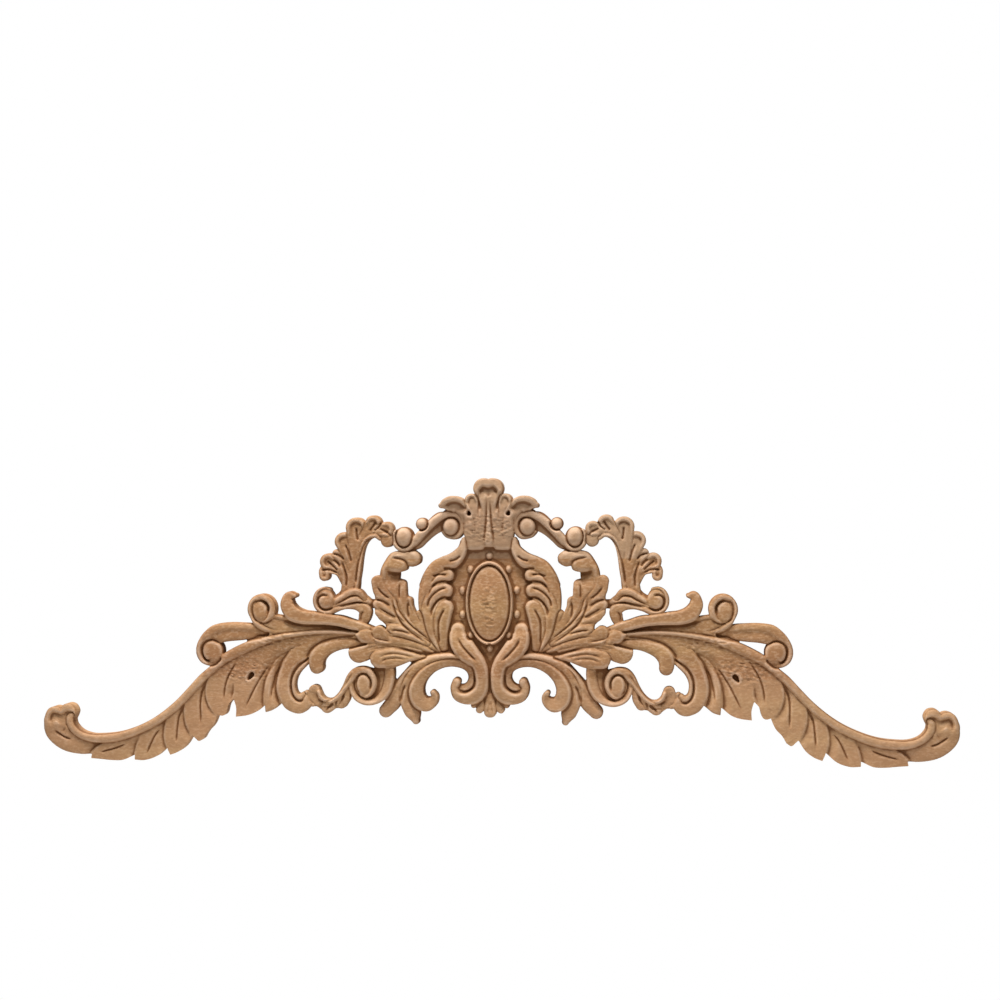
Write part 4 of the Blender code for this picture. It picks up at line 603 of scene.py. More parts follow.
def carve_lower_volute(r):
    """U ribbon, the volute it holds, and the connecting leaf that runs on to the wing."""
    r.panel(joined(
        [(123, -68), (129, -76), (138, -85), (147, -87), (156, -83)],
        [(158.6, -90)],
        [(152, -93.4), (146, -97.6), (141, -97), (136.8, -94.4), (131.4, -93.4), (127, -88.6),
         (123.8, -80), (123, -68)]), 9.8, pillow=0.6)
    for band in (
            [(125.8, -76, 2.4, 10.4), (127.6, -84, 4.2, 10.2), (131.4, -89.2, 5.2, 10)],
            [(131.6, -84, 2.4, 10.2), (138.4, -89.6, 4.6, 10.2), (144, -92.9, 5.6, 10)],
            [(142, -90, 3, 10), (150, -88.8, 4, 10.2), (154.4, -88, 4.7, 10)],
            [(157, -90, 3, 9.5), (160, -84.5, 4, 10), (163.2, -81.4, 2.6, 10.5)]):
        r.stroke(band, crown=1)
    r.stroke([
        (152, -89, 3.5, 9.6), (155.6, -83, 5.2, 9.8), (155.2, -78.8, 5.2, 10.8)], crown=0.8, dish=1)
    r.groove([(123.4, -70), (127.1, -76.8), (129.2, -82.1), (131.6, -89.5)], 2)
    r.groove([(133, -83.4), (135.7, -88.2), (136.8, -95)], 1.8)
    r.groove([(138, -88.4), (142.1, -92.6), (145.6, -97)], 2.2)
    r.stroke([
        (88.6, -50, 3.9, 12), (88.5, -58, 4.5, 12), (88.5, -66, 4.6, 12), (90.6, -76, 4.4, 12),
        (95.6, -84, 3.6, 12), (103, -88.2, 2.6, 12), (110.5, -88.3, 2.5, 12), (117.4, -84.6, 2.6, 11.5),
        (121.3, -78, 2.4, 11), (122.3, -70, 2.6, 11)], crown=2, tilt=-1.4)
    ring = [(112.4, -81.4, 2.2, 11.6)]
    ring += arc_stations((112.2, -72), (9.4, 11), 250, 100, 1.06, (2.4, 3), (12, 12.5))
    ring += [
        (117.6, -61.8, 3.7, 12.5), (122.6, -67, 3.7, 12.5), (127.6, -75, 2.5, 12),
        (132.8, -82.2, 2, 12), (139, -87, 1.9, 12), (145, -87.2, 1.8, 12), (149.2, -84, 1.8, 12),
        (151.2, -79.5, 1.7, 12)]
    r.stroke(ring, crown=1.2)
    r.dome(111.8, -73, 6.9, 9.4, 11.2, 1.4, bulge=3)
    r.groove([
        (105.4, -78), (104.7, -70.6), (107.6, -65.2), (112.1, -63.6), (116, -66), (117.8, -71.3),
        (117, -77.4), (113.6, -82.2)], 3, 1.4, taper=0.1)
    r.groove([
        (120.6, -62.6), (123.9, -67.4), (127.4, -72.6), (133.5, -80.2), (140, -86.2), (146.4, -88.4),
        (154, -85.6)], 1.6, taper=0.1)


def carve_small_volute(r):
    """Small scroll beside the tall leaf, three bands wide, ending in a volute."""
    r.panel(joined(
        [(107, -4), (111, 2), (116, 6), (123, 6), (131, 1), (141, -3)],
        [(142, -9)],
        [(132, -7), (122, -5.4), (113, -7), (107, -4)]), 11.4, pillow=0)
    low = [
        (113.4, -21, 3.6, 10), (110.4, -14, 5.2, 10.5), (110.2, -8, 5.6, 11), (116.4, -4.7, 3.6, 11.6),
        (125, -4.5, 2.4, 12), (133, -6.2, 2.4, 12.4), (140, -9.2, 2.4, 12.6)]
    low += arc_stations((145.2, 0.8), (8.8, 10.3), 265, 470, 0.86, (2.1, 2.8), (13, 13.5))
    r.stroke([
        (106, -0.6, 2.4, 10), (112, 2, 3.8, 11.8), (120, 1.6, 4.2, 12.4), (128, -0.9, 4, 12.6),
        (136, -3.4, 3.6, 12.6), (142, -4.4, 3, 12.2)], crown=0.8)
    r.stroke([
        (110.5, 2.8, 2.4, 10.5), (114.6, 7.2, 2.9, 12), (119, 8.2, 2.9, 12.6), (124.4, 6.6, 2.9, 12.6),
        (130, 2.8, 2.8, 12.6), (137, -0.6, 2.6, 12.6), (142, -1.6, 3, 12.4)], crown=0.9)
    r.stroke(low, crown=1)
    r.dome(144.6, 1.4, 7.4, 9.2, 11.4, 2.2, bulge=3)
    r.groove([(112.6, 4.4), (117, 4.9), (121.9, 4.4), (126.4, 2.4), (132, -0.6), (138.6, -2.6)], 2)
    r.groove([(105.6, -3.4), (111.2, -1.5), (116.6, -1), (125.2, -3), (132, -4.6), (137, -5.4)], 2.2)
    r.groove([(110.6, -8), (113.4, -12.4), (113.6, -18)], 1.8, 1.4)
    r.groove([
        (141.4, 3.6), (144.4, 5.4), (148, 5.2), (151, 2.2), (151.2, -2.4), (148.4, -6.2), (143.6, -7.4),
        (137, -5.4)], 3, 1.5, taper=0.15)


def carve_tall_leaf(r):
    """Tall leaf whose five lobes stand off its right side, each dished with a rolled lip."""
    r.stroke([(128, 9, 3, 9.5), (132, 4.8, 2.8, 9.5), (139, 1, 2.6, 9.5)], crown=0.8)
    r.stroke([
        (124, 6, 7.8, 10), (122.6, 14, 8, 10.6), (122.4, 24, 8.4, 11), (121, 38, 8.6, 11.6),
        (117.2, 51, 7.4, 12), (108.6, 62, 7.2, 12.4), (98, 63.4, 6.4, 12.6), (91, 57.6, 6, 12.6),
        (89.6, 52.8, 5.6, 12.6)], crown=1)
    lobes = (
        (
            [(127, 14, 3, 10.4), (132, 26.2, 4.8, 11.4), (140.2, 29.4, 5.4, 12.2),
             (145.3, 26.8, 4.9, 12.5), (145.6, 22.3, 4.6, 12.5)],
            1.4),
        ([(126, 18, 3.4, 10.4), (131, 28.6, 5, 11.8), (142, 34.6, 7.4, 13)], 2),
        ([(125, 30, 3, 10.8), (134.2, 41.4, 4.3, 12.6)], 0.8),
        ([(120, 28, 4, 11), (123.4, 40, 6, 12.2), (127.6, 52.2, 8.4, 13.8)], 2.2),
        ([(117, 36, 5, 11.6), (117, 52, 7.4, 12.6), (117, 64.3, 9.1, 14.2)], 2.4),
        ([(114, 50, 3.6, 11.8), (107, 61.4, 5, 12.8), (101.8, 67.8, 7.4, 14.2)], 2.2),
        ([(104, 61, 3.6, 12.2), (96.4, 62.4, 5.4, 13.2), (90.3, 63, 6.6, 13.8)], 1.6))
    for lobe, scoop in lobes:
        r.stroke(lobe, crown=1.1, dish=0.2, emerge=12, lip=3, scoop=scoop)
    r.stroke([
        (117.4, 12, 1.8, 11), (115, 26, 1.9, 12), (113.2, 40, 1.9, 12.5), (110.8, 49.4, 2, 13),
        (106.4, 55.4, 1.9, 13), (100.6, 57.4, 1.7, 13), (96, 54.4, 1.5, 12.5)], crown=0.7)
    for vein in (
            [(117.6, 14), (117.4, 20), (115.7, 31.7), (113.3, 41), (110.9, 47.6), (106.8, 53.6),
             (100.6, 55.8)],
            [(99.6, 70), (102, 65.8), (105.4, 61.4)],
            [(94.4, 69.4), (97.2, 64.8), (101.4, 61.6)],
            [(117, 65), (116.6, 59), (115.6, 53)],
            [(127, 50.4), (124.1, 43), (121.4, 34)],
            [(130.6, 35.2), (127.8, 28), (126.2, 20), (126.6, 12)],
            [(143.4, 35.8), (138.6, 31.6), (133.6, 27)],
            [(137.9, 36.9), (134.3, 33.8), (131.6, 30)],
            [(138.2, 41.6), (132.7, 40.6), (128, 36.6)],
            [(86, 57.2), (90.7, 61), (96, 63.6)],
            [(134, 24.8), (139.1, 27.5), (143.4, 28.2), (148.4, 27)]):
        r.groove(vein, 2.6, taper=0.12)


def carve_tail(r):
    """Tail of the wing: a curled end leaf under the stem's hook."""
    r.stroke([
        (340, -130, 4.5, 9), (354, -130.2, 5.7, 10), (367, -128.6, 7.8, 10.6), (379, -123.6, 10.2, 11),
        (388, -115.2, 11, 12), (389.6, -107, 10.4, 12.8)], crown=1)
    r.panel(joined(
        [(384.4, -95.6), (386.4, -94.2), (390.4, -93.7), (395.4, -95.8), (398.4, -101), (399.6, -108),
         (398.8, -115)],
        [(392, -121), (380, -120)],
        [(375, -109), (371.4, -102), (370.6, -97.4), (373.4, -92.6), (378.2, -91.1), (382, -92.4),
         (384.4, -95.6)]), 13.8, pillow=0.8, reach=4, root=((384, -118), (384, -106)))
    r.cove([
        (370, -101.4), (372.7, -98.6), (376.3, -96), (380.4, -96.6), (383.6, -98.6), (387, -98),
        (391.6, -97.4), (395.2, -100.6), (396.4, -107), (394, -114)], 3.2, 15, taper=0.3, wall=3.2)
    r.cove([(386, -122), (379.4, -115), (377.4, -107), (376, -100)], 1.8, 12, taper=0.4, wall=2.6)
    r.groove([(374, -123.2), (378, -122.4), (382, -120.8), (386.6, -117.8), (391.4, -113.6)], 2.8)


def feather(r, outline, edge, veins):
    """One feather of the wing: the shade beside its edge, its sheet, and its veins."""
    r.cove(edge, FEATHER_SHADE, 10.0, taper=0.35)
    r.panel(joined(*outline), WING_SHEET, pillow=0, crisp=True)
    for vein in veins:
        r.groove(vein, 2.4, 1.15)


def carve_feathers(r):
    """The wing's outer feathers, from the tail inwards, each tucked under the next."""
    feather(r,
        [[(300, -110), (326, -117), (344, -125.6)], [(351, -129.6), (356.4, -135)], [(357.2, -139.8)],
         [(347, -140.6), (338, -141.4), (328, -141), (318.6, -137)], [(306, -128), (300, -110)]],
        [(360.4, -141), (357.6, -135.4), (351.6, -129.4), (344, -125.4)],
        [[(324, -126), (332.6, -129.8), (341, -132.4), (351, -135)]])
    feather(r,
        [[(280, -100), (300, -108), (311, -118)], [(315.4, -127.6), (317.4, -137)], [(317.4, -140.8)],
         [(308, -141), (297.4, -137.4), (287.6, -129)], [(280, -100)]],
        [(318.8, -147), (317.6, -137), (315.4, -127.6), (310.6, -118)],
        [[(293, -112.4), (298, -117.4), (302.6, -126), (307.4, -137)]])
    feather(r,
        [[(256, -84), (272, -88), (284, -97)], [(289, -109), (290.4, -120), (288, -129)],
         [(287, -132), (285, -136.2)], [(278, -133.4), (270.8, -127.8), (265, -118.8)], [(256, -84)]],
        [(283, -142), (289, -128), (290.4, -117), (287.6, -104), (281, -94)],
        [[(273, -93), (277.4, -102), (278.8, -111), (279.4, -119), (280.2, -127)],
         [(267.6, -95), (267.4, -104), (263.6, -114)]])
    feather(r,
        [[(232, -66), (252, -70), (266, -81)],
         [(271.4, -92), (271.8, -102), (269.6, -110), (265.2, -118.6)],
         [(262.6, -121), (259, -123.8), (254.8, -121.4)],
         [(251.2, -115.2), (245.6, -109), (241.8, -100)], [(236, -88), (232, -66)]],
        [(262, -125), (269.6, -112), (272.2, -100), (270, -88), (262, -77)],
        [[(252, -72), (256.6, -80), (258, -89.9), (257.8, -99), (257.4, -111)],
         [(249, -76), (248.6, -86), (244.4, -97)]])
    feather(r,
        [[(200, -38), (230, -50), (247, -63)], [(251.4, -73), (252.4, -82), (250.6, -90), (246, -98)],
         [(242.4, -100)], [(237.6, -101.2), (234.2, -98.6), (232, -91), (227.6, -86)],
         [(205, -72), (200, -38)]],
        [(240, -105), (249, -93.6), (252.6, -82), (250.6, -70), (243, -58)],
        [[(223.4, -51), (229.2, -60.3), (233.1, -68), (235.8, -77.4), (236.8, -90)]])
    feather(r,
        [[(180, -36), (206, -42), (222, -56)], [(226.4, -70), (227.6, -86)],
         [(225.4, -94), (225.6, -102)], [(216, -100.8), (208, -97.9), (199.8, -91.4)],
         [(190, -60), (180, -36)]],
        [(231, -93), (226.6, -81), (219, -73.4), (208, -68)],
        [[(195, -54.6), (202, -65), (207.4, -74), (212, -83), (218.4, -96)]])


def carve_wing(r):
    """Wing: the two inner feathers over the rest, the rolled rim, the C lobe and the stem."""
    r.cove([(199.4, -102), (200.4, -86), (198.8, -74), (194, -61), (187, -51), (176, -44)], 3, 9)
    r.panel(joined(
        [(160, -34), (176, -42), (186, -50)],
        [(194.6, -61), (199.4, -74), (199.6, -91)],
        [(199, -98)],
        [(192.4, -95.8), (185, -90)],
        [(172, -60), (160, -34)]), WING_SHEET, pillow=0.4, ramp=((187, -70, -1.4), (198, -72, 0.6)),
        root=((176, -44), (190, -60)))
    r.groove([(184, -55), (189.7, -64.3), (192, -72), (193.8, -80), (194, -90)], 2.2)
    r.cove([(184, -96), (188.4, -81), (188.4, -70), (184.6, -57), (179.6, -49), (170, -41)], 3.2, 7)
    r.panel([
        [(116, -30), (140, -29), (176, -42)],
        [(176, -42), (184, -57), (188.4, -70), (188.6, -80), (185, -89.6)],
        [(185, -89.6), (180, -95.4), (171, -99), (163.6, -97.4), (157.6, -91)],
        [(157.6, -91), (161, -84), (164.6, -79.4)],
        [(165.6, -82), (169, -86.6), (174, -83), (176, -74), (173, -63), (165, -54.4), (157, -48)],
        [(157, -48), (140, -37), (116, -36)]], WING_SHEET, pillow=0.6, reach=4,
        ramp=((170, -60, 0), (188, -60, 0.6)), root=((150, -32), (178, -56)))
    r.stroke([
        (159, -51.4, 1.6, 10), (165, -56.8, 1.7, 10.4), (170, -62, 1.8, 10.4), (173.2, -68, 1.9, 10.4),
        (174.3, -75, 2.1, 10.4), (172.6, -81.6, 2.2, 10.4), (168.6, -84.4, 2.6, 10.4),
        (165.6, -82.2, 2.2, 10)], crown=0.9)
    r.groove([
        (158, -47.6), (161.8, -51.4), (168.6, -55.8), (173.6, -62), (176, -68.5), (176.4, -75),
        (175.2, -82), (171.6, -87), (167, -88), (163.6, -85)], 2.8, 1.4, taper=0.1)
    r.pit(212.6, -66.4, 4, 1.9, -55, 4)
    r.cove([
        (162, -52), (156.6, -43.6), (149.8, -38.6), (141.3, -35), (131.6, -33.2), (118, -32.4)], 3, 5,
        taper=0.1)
    r.stroke([
        (110, -35.4, 2.4, 10), (122, -37.2, 4, 10.5), (131, -38, 4.5, 11), (139, -40, 5.2, 12),
        (147, -43.4, 6.4, 12.5), (152.2, -49, 6.9, 13), (153.2, -55, 6.5, 13), (152.8, -57.6, 6.2, 13)],
        crown=2)
    r.cove([
        (384, -108), (380, -112), (375.6, -115.8), (370.4, -120.6), (360.7, -124.6), (349.3, -126.4),
        (337.8, -126.2), (323.2, -123), (308.6, -116.9), (293.9, -108.4), (281.3, -98.8),
        (270.8, -88.3), (260.3, -77.6), (249.7, -67), (233.4, -55.8), (217, -46), (200, -38.6),
        (180, -32.4), (160, -29.6), (140, -29), (122, -30)], 1.6, 7, taper=0.05)
    r.stroke([
        (116, -28.5, 1.2, 11.4), (139, -27.2, 1.6, 12), (158, -27.6, 1.9, 12.5), (175, -29.6, 2.1, 13),
        (190, -32.4, 2.5, 13), (202, -36, 3.1, 13), (213, -39.4, 4.2, 13), (224, -44.4, 4.4, 13),
        (236, -51, 4, 13), (246, -59.6, 3.3, 13), (256, -68.2, 3.4, 13), (266, -79, 3.4, 13),
        (277, -90.3, 3.4, 13), (290, -101, 3.4, 13), (303, -109.2, 3.4, 13), (318, -116, 3.5, 13),
        (332, -120.4, 3.7, 13), (346, -122.1, 3.7, 13), (358, -121.6, 3.3, 13), (368, -118, 3.1, 13),
        (374.8, -111.4, 3.3, 13), (376.4, -105, 3.4, 13), (375, -101.4, 2.8, 12.6)], crown=1.8)


def carve_upper_volute(r):
    """Ledge, ribbon and upper volute that rise behind the wing's hooked stem."""
    r.stroke([(172, -15.6, 1.5, 12), (179, -14.9, 1.7, 12.4), (191, -13.3, 1.7, 12.4)], crown=0.7)
    r.stroke([
        (198, -28.4, 2, 8), (205, -26.6, 4.4, 9.5), (211, -26.5, 6.6, 11.5), (220, -26.9, 7.6, 12.5),
        (232, -27.3, 8.2, 13), (243, -29, 8.3, 13), (250, -31.2, 5.4, 13), (254.9, -35.2, 3.5, 13),
        (257.8, -40.4, 2.7, 13), (258.2, -46.4, 2.4, 12.5), (255.8, -51.8, 2.1, 12),
        (251, -54.6, 2.1, 11.5), (245.6, -54.4, 2.4, 11), (241.4, -50.8, 2.6, 11)], crown=1.6, tilt=0.6)
    r.cove([
        (203, -24.6), (208, -24.2), (214.2, -23.8), (229, -23.2), (237.5, -24.2), (245, -27.4),
        (250.6, -32.8), (252.6, -38)], 1.5, 11, taper=0.15, wall=4)
    r.dome(246, -44, 8.8, 9.2, 11.8, 1.4, bulge=3)
    r.groove([
        (238, -38.4), (243.6, -35), (249.1, -34.4), (253.8, -37.1), (255.9, -41.6), (255.4, -47),
        (253.1, -51.1), (249.8, -52.2), (246.2, -49.6)], 2.6, taper=0.12)
    ring = [
        (184, -27.6, 1.2, 11), (193, -26.4, 1.8, 11.4), (200.6, -23.6, 2.3, 12),
        (206.6, -19.4, 2.4, 12.6)]
    ring += arc_stations((201.6, -7), (10.4, 11.2), -40, 200, 0.88, (2.4, 3.4), (12.8, 14))
    ring += [(194.4, -13.8, 3, 13.6), (199.4, -16.2, 2.8, 13.2), (204.6, -14.8, 2.6, 12.8)]
    r.stroke(ring, crown=1.2, emerge=16)
    r.dome(202.8, -8.8, 7, 8.8, 11.6, 1.6, bulge=3)
    r.groove([
        (197.4, -12.6), (195.8, -9), (195.8, -4.6), (198.4, -1), (202.6, 0.9), (206.4, 0.4)], 3.6, 1.8,
        taper=0.3)
    r.groove([
        (203, 0.8), (207.8, -0.2), (210.2, -4.1), (210.4, -9.5), (208.6, -15.2), (204, -19)], 2.2, 1.2,
        taper=0.15)
    r.groove([(190.6, -13.4), (195.1, -17.6), (200.6, -19.4), (206, -18.4)], 1.6, 1.2)


def carve_hooked_stem(r):
    """Band along the wing's top that ends in a hook."""
    r.stroke([
        (103, -25.8, 3.2, 13), (112, -22.8, 3.8, 13.5), (122, -20.2, 4.4, 14), (132, -17.3, 4.7, 14.5),
        (143, -16, 4.5, 15), (155, -14.7, 5.4, 15.5), (165, -13.8, 5.9, 16), (173.6, -10.6, 6.6, 16),
        (178.2, -4.6, 6.1, 15.5), (178.5, 0.4, 5.4, 15), (176.4, 4.4, 4.4, 14.5), (172, 5, 1.9, 14)],
        crown=2.4, dish=0.9)


def carve(step):
    """The whole right half, back to front."""
    relief = Relief(step)
    for form in (carve_grounds, carve_palmette, carve_lower_leaf, carve_lower_scroll,
                 carve_frame_leaf, carve_cabochon, carve_upright_leaf, carve_arm, carve_crown,
                 carve_lower_volute, carve_side_leaves, carve_tall_leaf, carve_tail,
                 carve_feathers, carve_wing, carve_upper_volute, carve_small_volute,
                 carve_hooked_stem, carve_knot):
        form(relief)
    relief.height = np.clip(relief.height, THINNEST, THICKNESS)
    return relief


def mirrored(field):
    """Both halves of a field whose first column is the middle line."""
    return np.hstack([field[:, :0:-1], field])


def blurred(field, radius):
    """Gaussian blur, the radius in cells."""
    reach = int(math.ceil(2.5 * radius))
    weights = np.exp(-0.5 * (np.arange(-reach, reach + 1) / radius) ** 2)
    weights /= weights.sum()
    for axis in (0, 1):
        padded = np.pad(field, [(reach, reach) if k == axis else (0, 0) for k in (0, 1)], "edge")
        size = field.shape[axis]
        field = sum(weight * padded.take(range(k, k + size), axis) for k, weight in enumerate(weights))
    return field


def lumps(x, z, cell, seed):
    """Smooth random field between -1 and 1, in lumps one cell across."""
    u = (x - x.min()) / cell
    v = (z - z.min()) / cell
    i = u.astype(int)
    j = v.astype(int)
    lattice = np.random.default_rng(seed).uniform(-1.0, 1.0, (j.max() + 2, i.max() + 2))
    a = smoothstep(u - i)
    b = smoothstep(v - j)
    low = lattice[j, i] * (1 - a) + lattice[j, i + 1] * a
    high = lattice[j + 1, i] * (1 - a) + lattice[j + 1, i + 1] * a
    return low * (1 - b) + high * b


def hatched(x, z):
    """Share of rough gouge marks: full in the middle of each patch, none at its rim."""
    share = 0.0 * x
    for x0, z0, rx, rz in HATCHED:
        share = np.maximum(share, smoothstep(1.6 - 1.6 * np.hypot((abs(x) - x0) / rx, (z - z0) / rz)))
    return share


def tool_marks(x, z):
    """What the hand tools left on the surface: broad waves, small ones, and slanting gouge marks."""
    marks = BROAD_MARKS * lumps(x, z, BROAD_SPACING, 1) + SMALL_MARKS * lumps(x, z, SMALL_SPACING, 2)
    return marks + GOUGE_MARKS * hatched(x, z) * lumps(0.45 * x + 0.2 * z, z, GOUGE_SPACING, 3)


class Surface:
    """The whole carving's fields, softened and worked by hand."""

    def __init__(self, relief):
        self.step = relief.step
        self.x = np.concatenate([-relief.x[:0:-1], relief.x])
        self.z = relief.z
        self.edge = mirrored(relief.edge)
        self.wood = (mirrored(relief.cover) > 0.05).astype(float)
        soft = self.blurred_wood(mirrored(relief.height), SANDING)
        x, z = np.meshgrid(self.x, self.z)
        self.height = np.clip(soft + tool_marks(x, z), THINNEST, TALLEST)
        # Depth below the blurred surface at two reaches, for the stain, painted shade and painted highlight
        self.hollow = self.blurred_wood(self.height, HOLLOW_REACH) - self.height
        self.valley = self.blurred_wood(self.height, VALLEY_REACH) - self.height

    def blurred_wood(self, field, radius):
        """A field's mean over the wood round each spot, the radius in millimetres."""
        cells = radius / self.step
        return blurred(field * self.wood, cells) / np.maximum(blurred(self.wood, cells), 1e-6)

    def sample(self, field, x, z):
        """A field's value at places between the grid's points."""
        u = np.clip((x - self.x[0]) / self.step, 0, len(self.x) - 1.001)
        v = np.clip((z - self.z[0]) / self.step, 0, len(self.z) - 1.001)
        i = u.astype(int)
        j = v.astype(int)
        a = u - i
        b = v - j
        return (field[j, i] * (1 - a) * (1 - b) + field[j, i + 1] * a * (1 - b)
                + field[j + 1, i] * (1 - a) * b + field[j + 1, i + 1] * a * b)

    def cells_inside(self):
        """The grid's cells that the carving fills."""
        inside = self.edge > -0.45 * self.step
        cells = np.all([inside[corner] for corner in CORNERS], axis=0)
        for _ in range(4):
            fill_corners(cells)
        return cells

    def fitted(self, x, z, rim):
        """The points' places, those on the rim moved on to the outline."""
        grad_z, grad_x = np.gradient(self.edge, self.step)
        for _ in range(3):
            gx = self.sample(grad_x, x, z)
            gz = self.sample(grad_z, x, z)
            go = self.sample(self.edge, x, z) / np.maximum(gx ** 2 + gz ** 2, 0.25)
            x = np.where(rim, x - np.clip(go * gx, -RIM_MOVE, RIM_MOVE), x)
            z = np.where(rim, z - np.clip(go * gz, -RIM_MOVE, RIM_MOVE), z)
        return x, z

    def mesh(self, name):
        """Closed mesh of quads in metres: carved face, flat back and walls."""
        cells = self.cells_inside()
        used = np.zeros(self.edge.shape, bool)
        open_side = np.zeros(self.edge.shape, bool)
        for corner in CORNERS:
            used[corner] |= cells
            open_side[corner] |= ~cells
        number = np.cumsum(used).reshape(used.shape) - 1
        rows, columns = np.nonzero(used)
        x, z = self.fitted(self.x[columns], self.z[rows], open_side[rows, columns])
        front = np.column_stack([x, -self.sample(self.height, x, z), z]) * MM
        back = np.column_stack([x, np.zeros(len(x)), z]) * MM
        count = len(front)
        a, b, c, d = (number[corner][cells] for corner in CORNERS)
        faces = [np.column_stack([a, b, c, d]), np.column_stack([d, c, b, a]) + count]
        padded = np.pad(cells, 1)
        beyond = (padded[:-2, 1:-1], padded[1:-1, 2:], padded[2:, 1:-1], padded[1:-1, :-2])
        for low, high, neighbour in zip(CORNERS, CORNERS[1:] + CORNERS[:1], beyond):
            border = cells & ~neighbour
            first = number[low][border]
            second = number[high][border]
            faces.append(np.column_stack([second, first, first + count, second + count]))
        data = bpy.data.meshes.new(name)
        data.from_pydata(np.vstack([front, back]), [], np.vstack(faces))
        return data


def fill_corners(cells):
    """Fills the gaps where two cells meet only at a corner."""
    low_left, low_right = cells[:-1, :-1], cells[:-1, 1:]
    high_left, high_right = cells[1:, :-1], cells[1:, 1:]
    low_right |= low_left & high_right & ~high_left
    low_left |= low_right & high_left & ~high_right


def carving(surface):
    """The fine carving, thinned to its budget, its hollows' depths kept for the painted shade and
    highlight.
    """
    piece = bpy.data.objects.new("carving", surface.mesh("carving"))
    bpy.context.scene.collection.objects.link(piece)
    thin = piece.modifiers.new("thin", "DECIMATE")
    thin.ratio = TRIANGLES / (2.0 * len(piece.data.polygons))
    depsgraph = bpy.context.evaluated_depsgraph_get()
    final = bpy.data.meshes.new_from_object(piece.evaluated_get(depsgraph))
    piece.modifiers.clear()
    piece.data = final
    place = np.zeros(3 * len(final.vertices))
    final.vertices.foreach_get("co", place)
    place = place.reshape(-1, 3)
    # Thinning moves some points of the back a little way off its plane
    place[:, 1] = np.where(place[:, 1] > -0.4 * THINNEST * MM, 0.0, place[:, 1])
    final.vertices.foreach_set("co", place.ravel())
    x = place[:, 0] / MM
    z = place[:, 2] / MM
    on_front = place[:, 1] < 0.0
    # Depths that the material turns into stain, painted shade and a painted highlight
    for name, field in (("hollow", surface.hollow), ("valley", surface.valley)):
        values = np.where(on_front, surface.sample(field, x, z), 0.0)
        final.attributes.new(name, "FLOAT", "POINT").data.foreach_set("value", values)
    final.shade_smooth()
    final.set_sharp_from_angle(angle=math.radians(60))
    return piece


class Nodes:
    """Short way to build a node tree."""

    def __init__(self, tree):
        self.tree = tree

    def add(self, kind, inputs=None, **settings):
        node = self.tree.nodes.new(kind)
        for name, value in settings.items():
            setattr(node, name, value)
        for key, value in (inputs or {}).items():
            if isinstance(value, bpy.types.NodeSocket):
                self.tree.links.new(value, node.inputs[key])
            else:
                node.inputs[key].default_value = value
        return node

    def math(self, operation, a, b):
        return self.add("ShaderNodeMath", {0: a, 1: b}, operation=operation).outputs[0]

    def span(self, value, low, high, to_low=0.0, to_high=1.0):
        """The value's share of the way from low to high, smooth and clamped."""
        return self.add("ShaderNodeMapRange", {"Value": value, "From Min": low, "From Max": high,
                                               "To Min": to_low, "To Max": to_high},
                        interpolation_type="SMOOTHSTEP").outputs["Result"]

    def noise(self, place, scale, detail, roughness, stretch):
        stretched = self.add("ShaderNodeMapping", {"Vector": place, "Scale": stretch})
        return self.add("ShaderNodeTexNoise", {"Vector": stretched.outputs[0], "Scale": scale,
                                               "Detail": detail, "Roughness": roughness}).outputs[0]

    def attribute(self, name):
        return self.add("ShaderNodeAttribute", attribute_name=name).outputs["Fac"]

    def mix(self, share, a, b):
        """From colour a to colour b. Either can be a socket."""
        node = self.add("ShaderNodeMix", {0: share}, data_type="RGBA")
        for key, value in ((6, a), (7, b)):
            if isinstance(value, bpy.types.NodeSocket):
                self.tree.links.new(value, node.inputs[key])
            else:
                node.inputs[key].default_value = (*value, 1.0)
        return node.outputs[2]


def joint_share(n, height, joint, upwards):
    """1 above a board's joint and 0 below it where upwards is 1, the other way round where it is -1."""
    blur = upwards * JOINT_BLUR
    return n.span(height, (joint - blur) * MM, (joint + blur) * MM)


def board_colour(n, place, streaks, pores):
    """Colour of the plain boards: level grain, specks, a change of tone at each joint, pores."""
    axes = n.add("ShaderNodeSeparateXYZ", {0: place})
    broad = n.noise(place, 9.0, 3.0, 0.55, (0.6, 1.0, 2.2))
    specks = n.noise(place, 560.0, 3.0, 0.6, (0.50, 1.0, 1.0))
    colour = n.mix(n.span(broad, 0.30, 0.70), RED_BROWN, TAN)
    colour = n.mix(n.span(streaks, 0.30, 0.72, 0.0, 0.66), colour, STREAK)
    colour = n.mix(n.span(specks, 0.40, 0.66, 0.0, 0.32), colour, DARK_SPECK)
    colour = n.mix(n.span(specks, 0.52, 0.34, 0.0, 0.26), colour, LIGHT_SPECK)
    upper = joint_share(n, axes.outputs["Z"], UPPER_JOINT, 1)
    upper = n.math("MULTIPLY", upper, n.span(axes.outputs["X"], *(side * MM for side in UPPER_START)))
    lower = joint_share(n, axes.outputs["Z"], LOWER_JOINT, -1)
    colour = n.mix(n.math("MULTIPLY", upper, 0.45), colour, UPPER_BOARD)
    colour = n.mix(n.math("MULTIPLY", lower, 0.35), colour, LOWER_BOARD)
    return n.mix(n.math("MULTIPLY", pores, 0.45), colour, PORE)


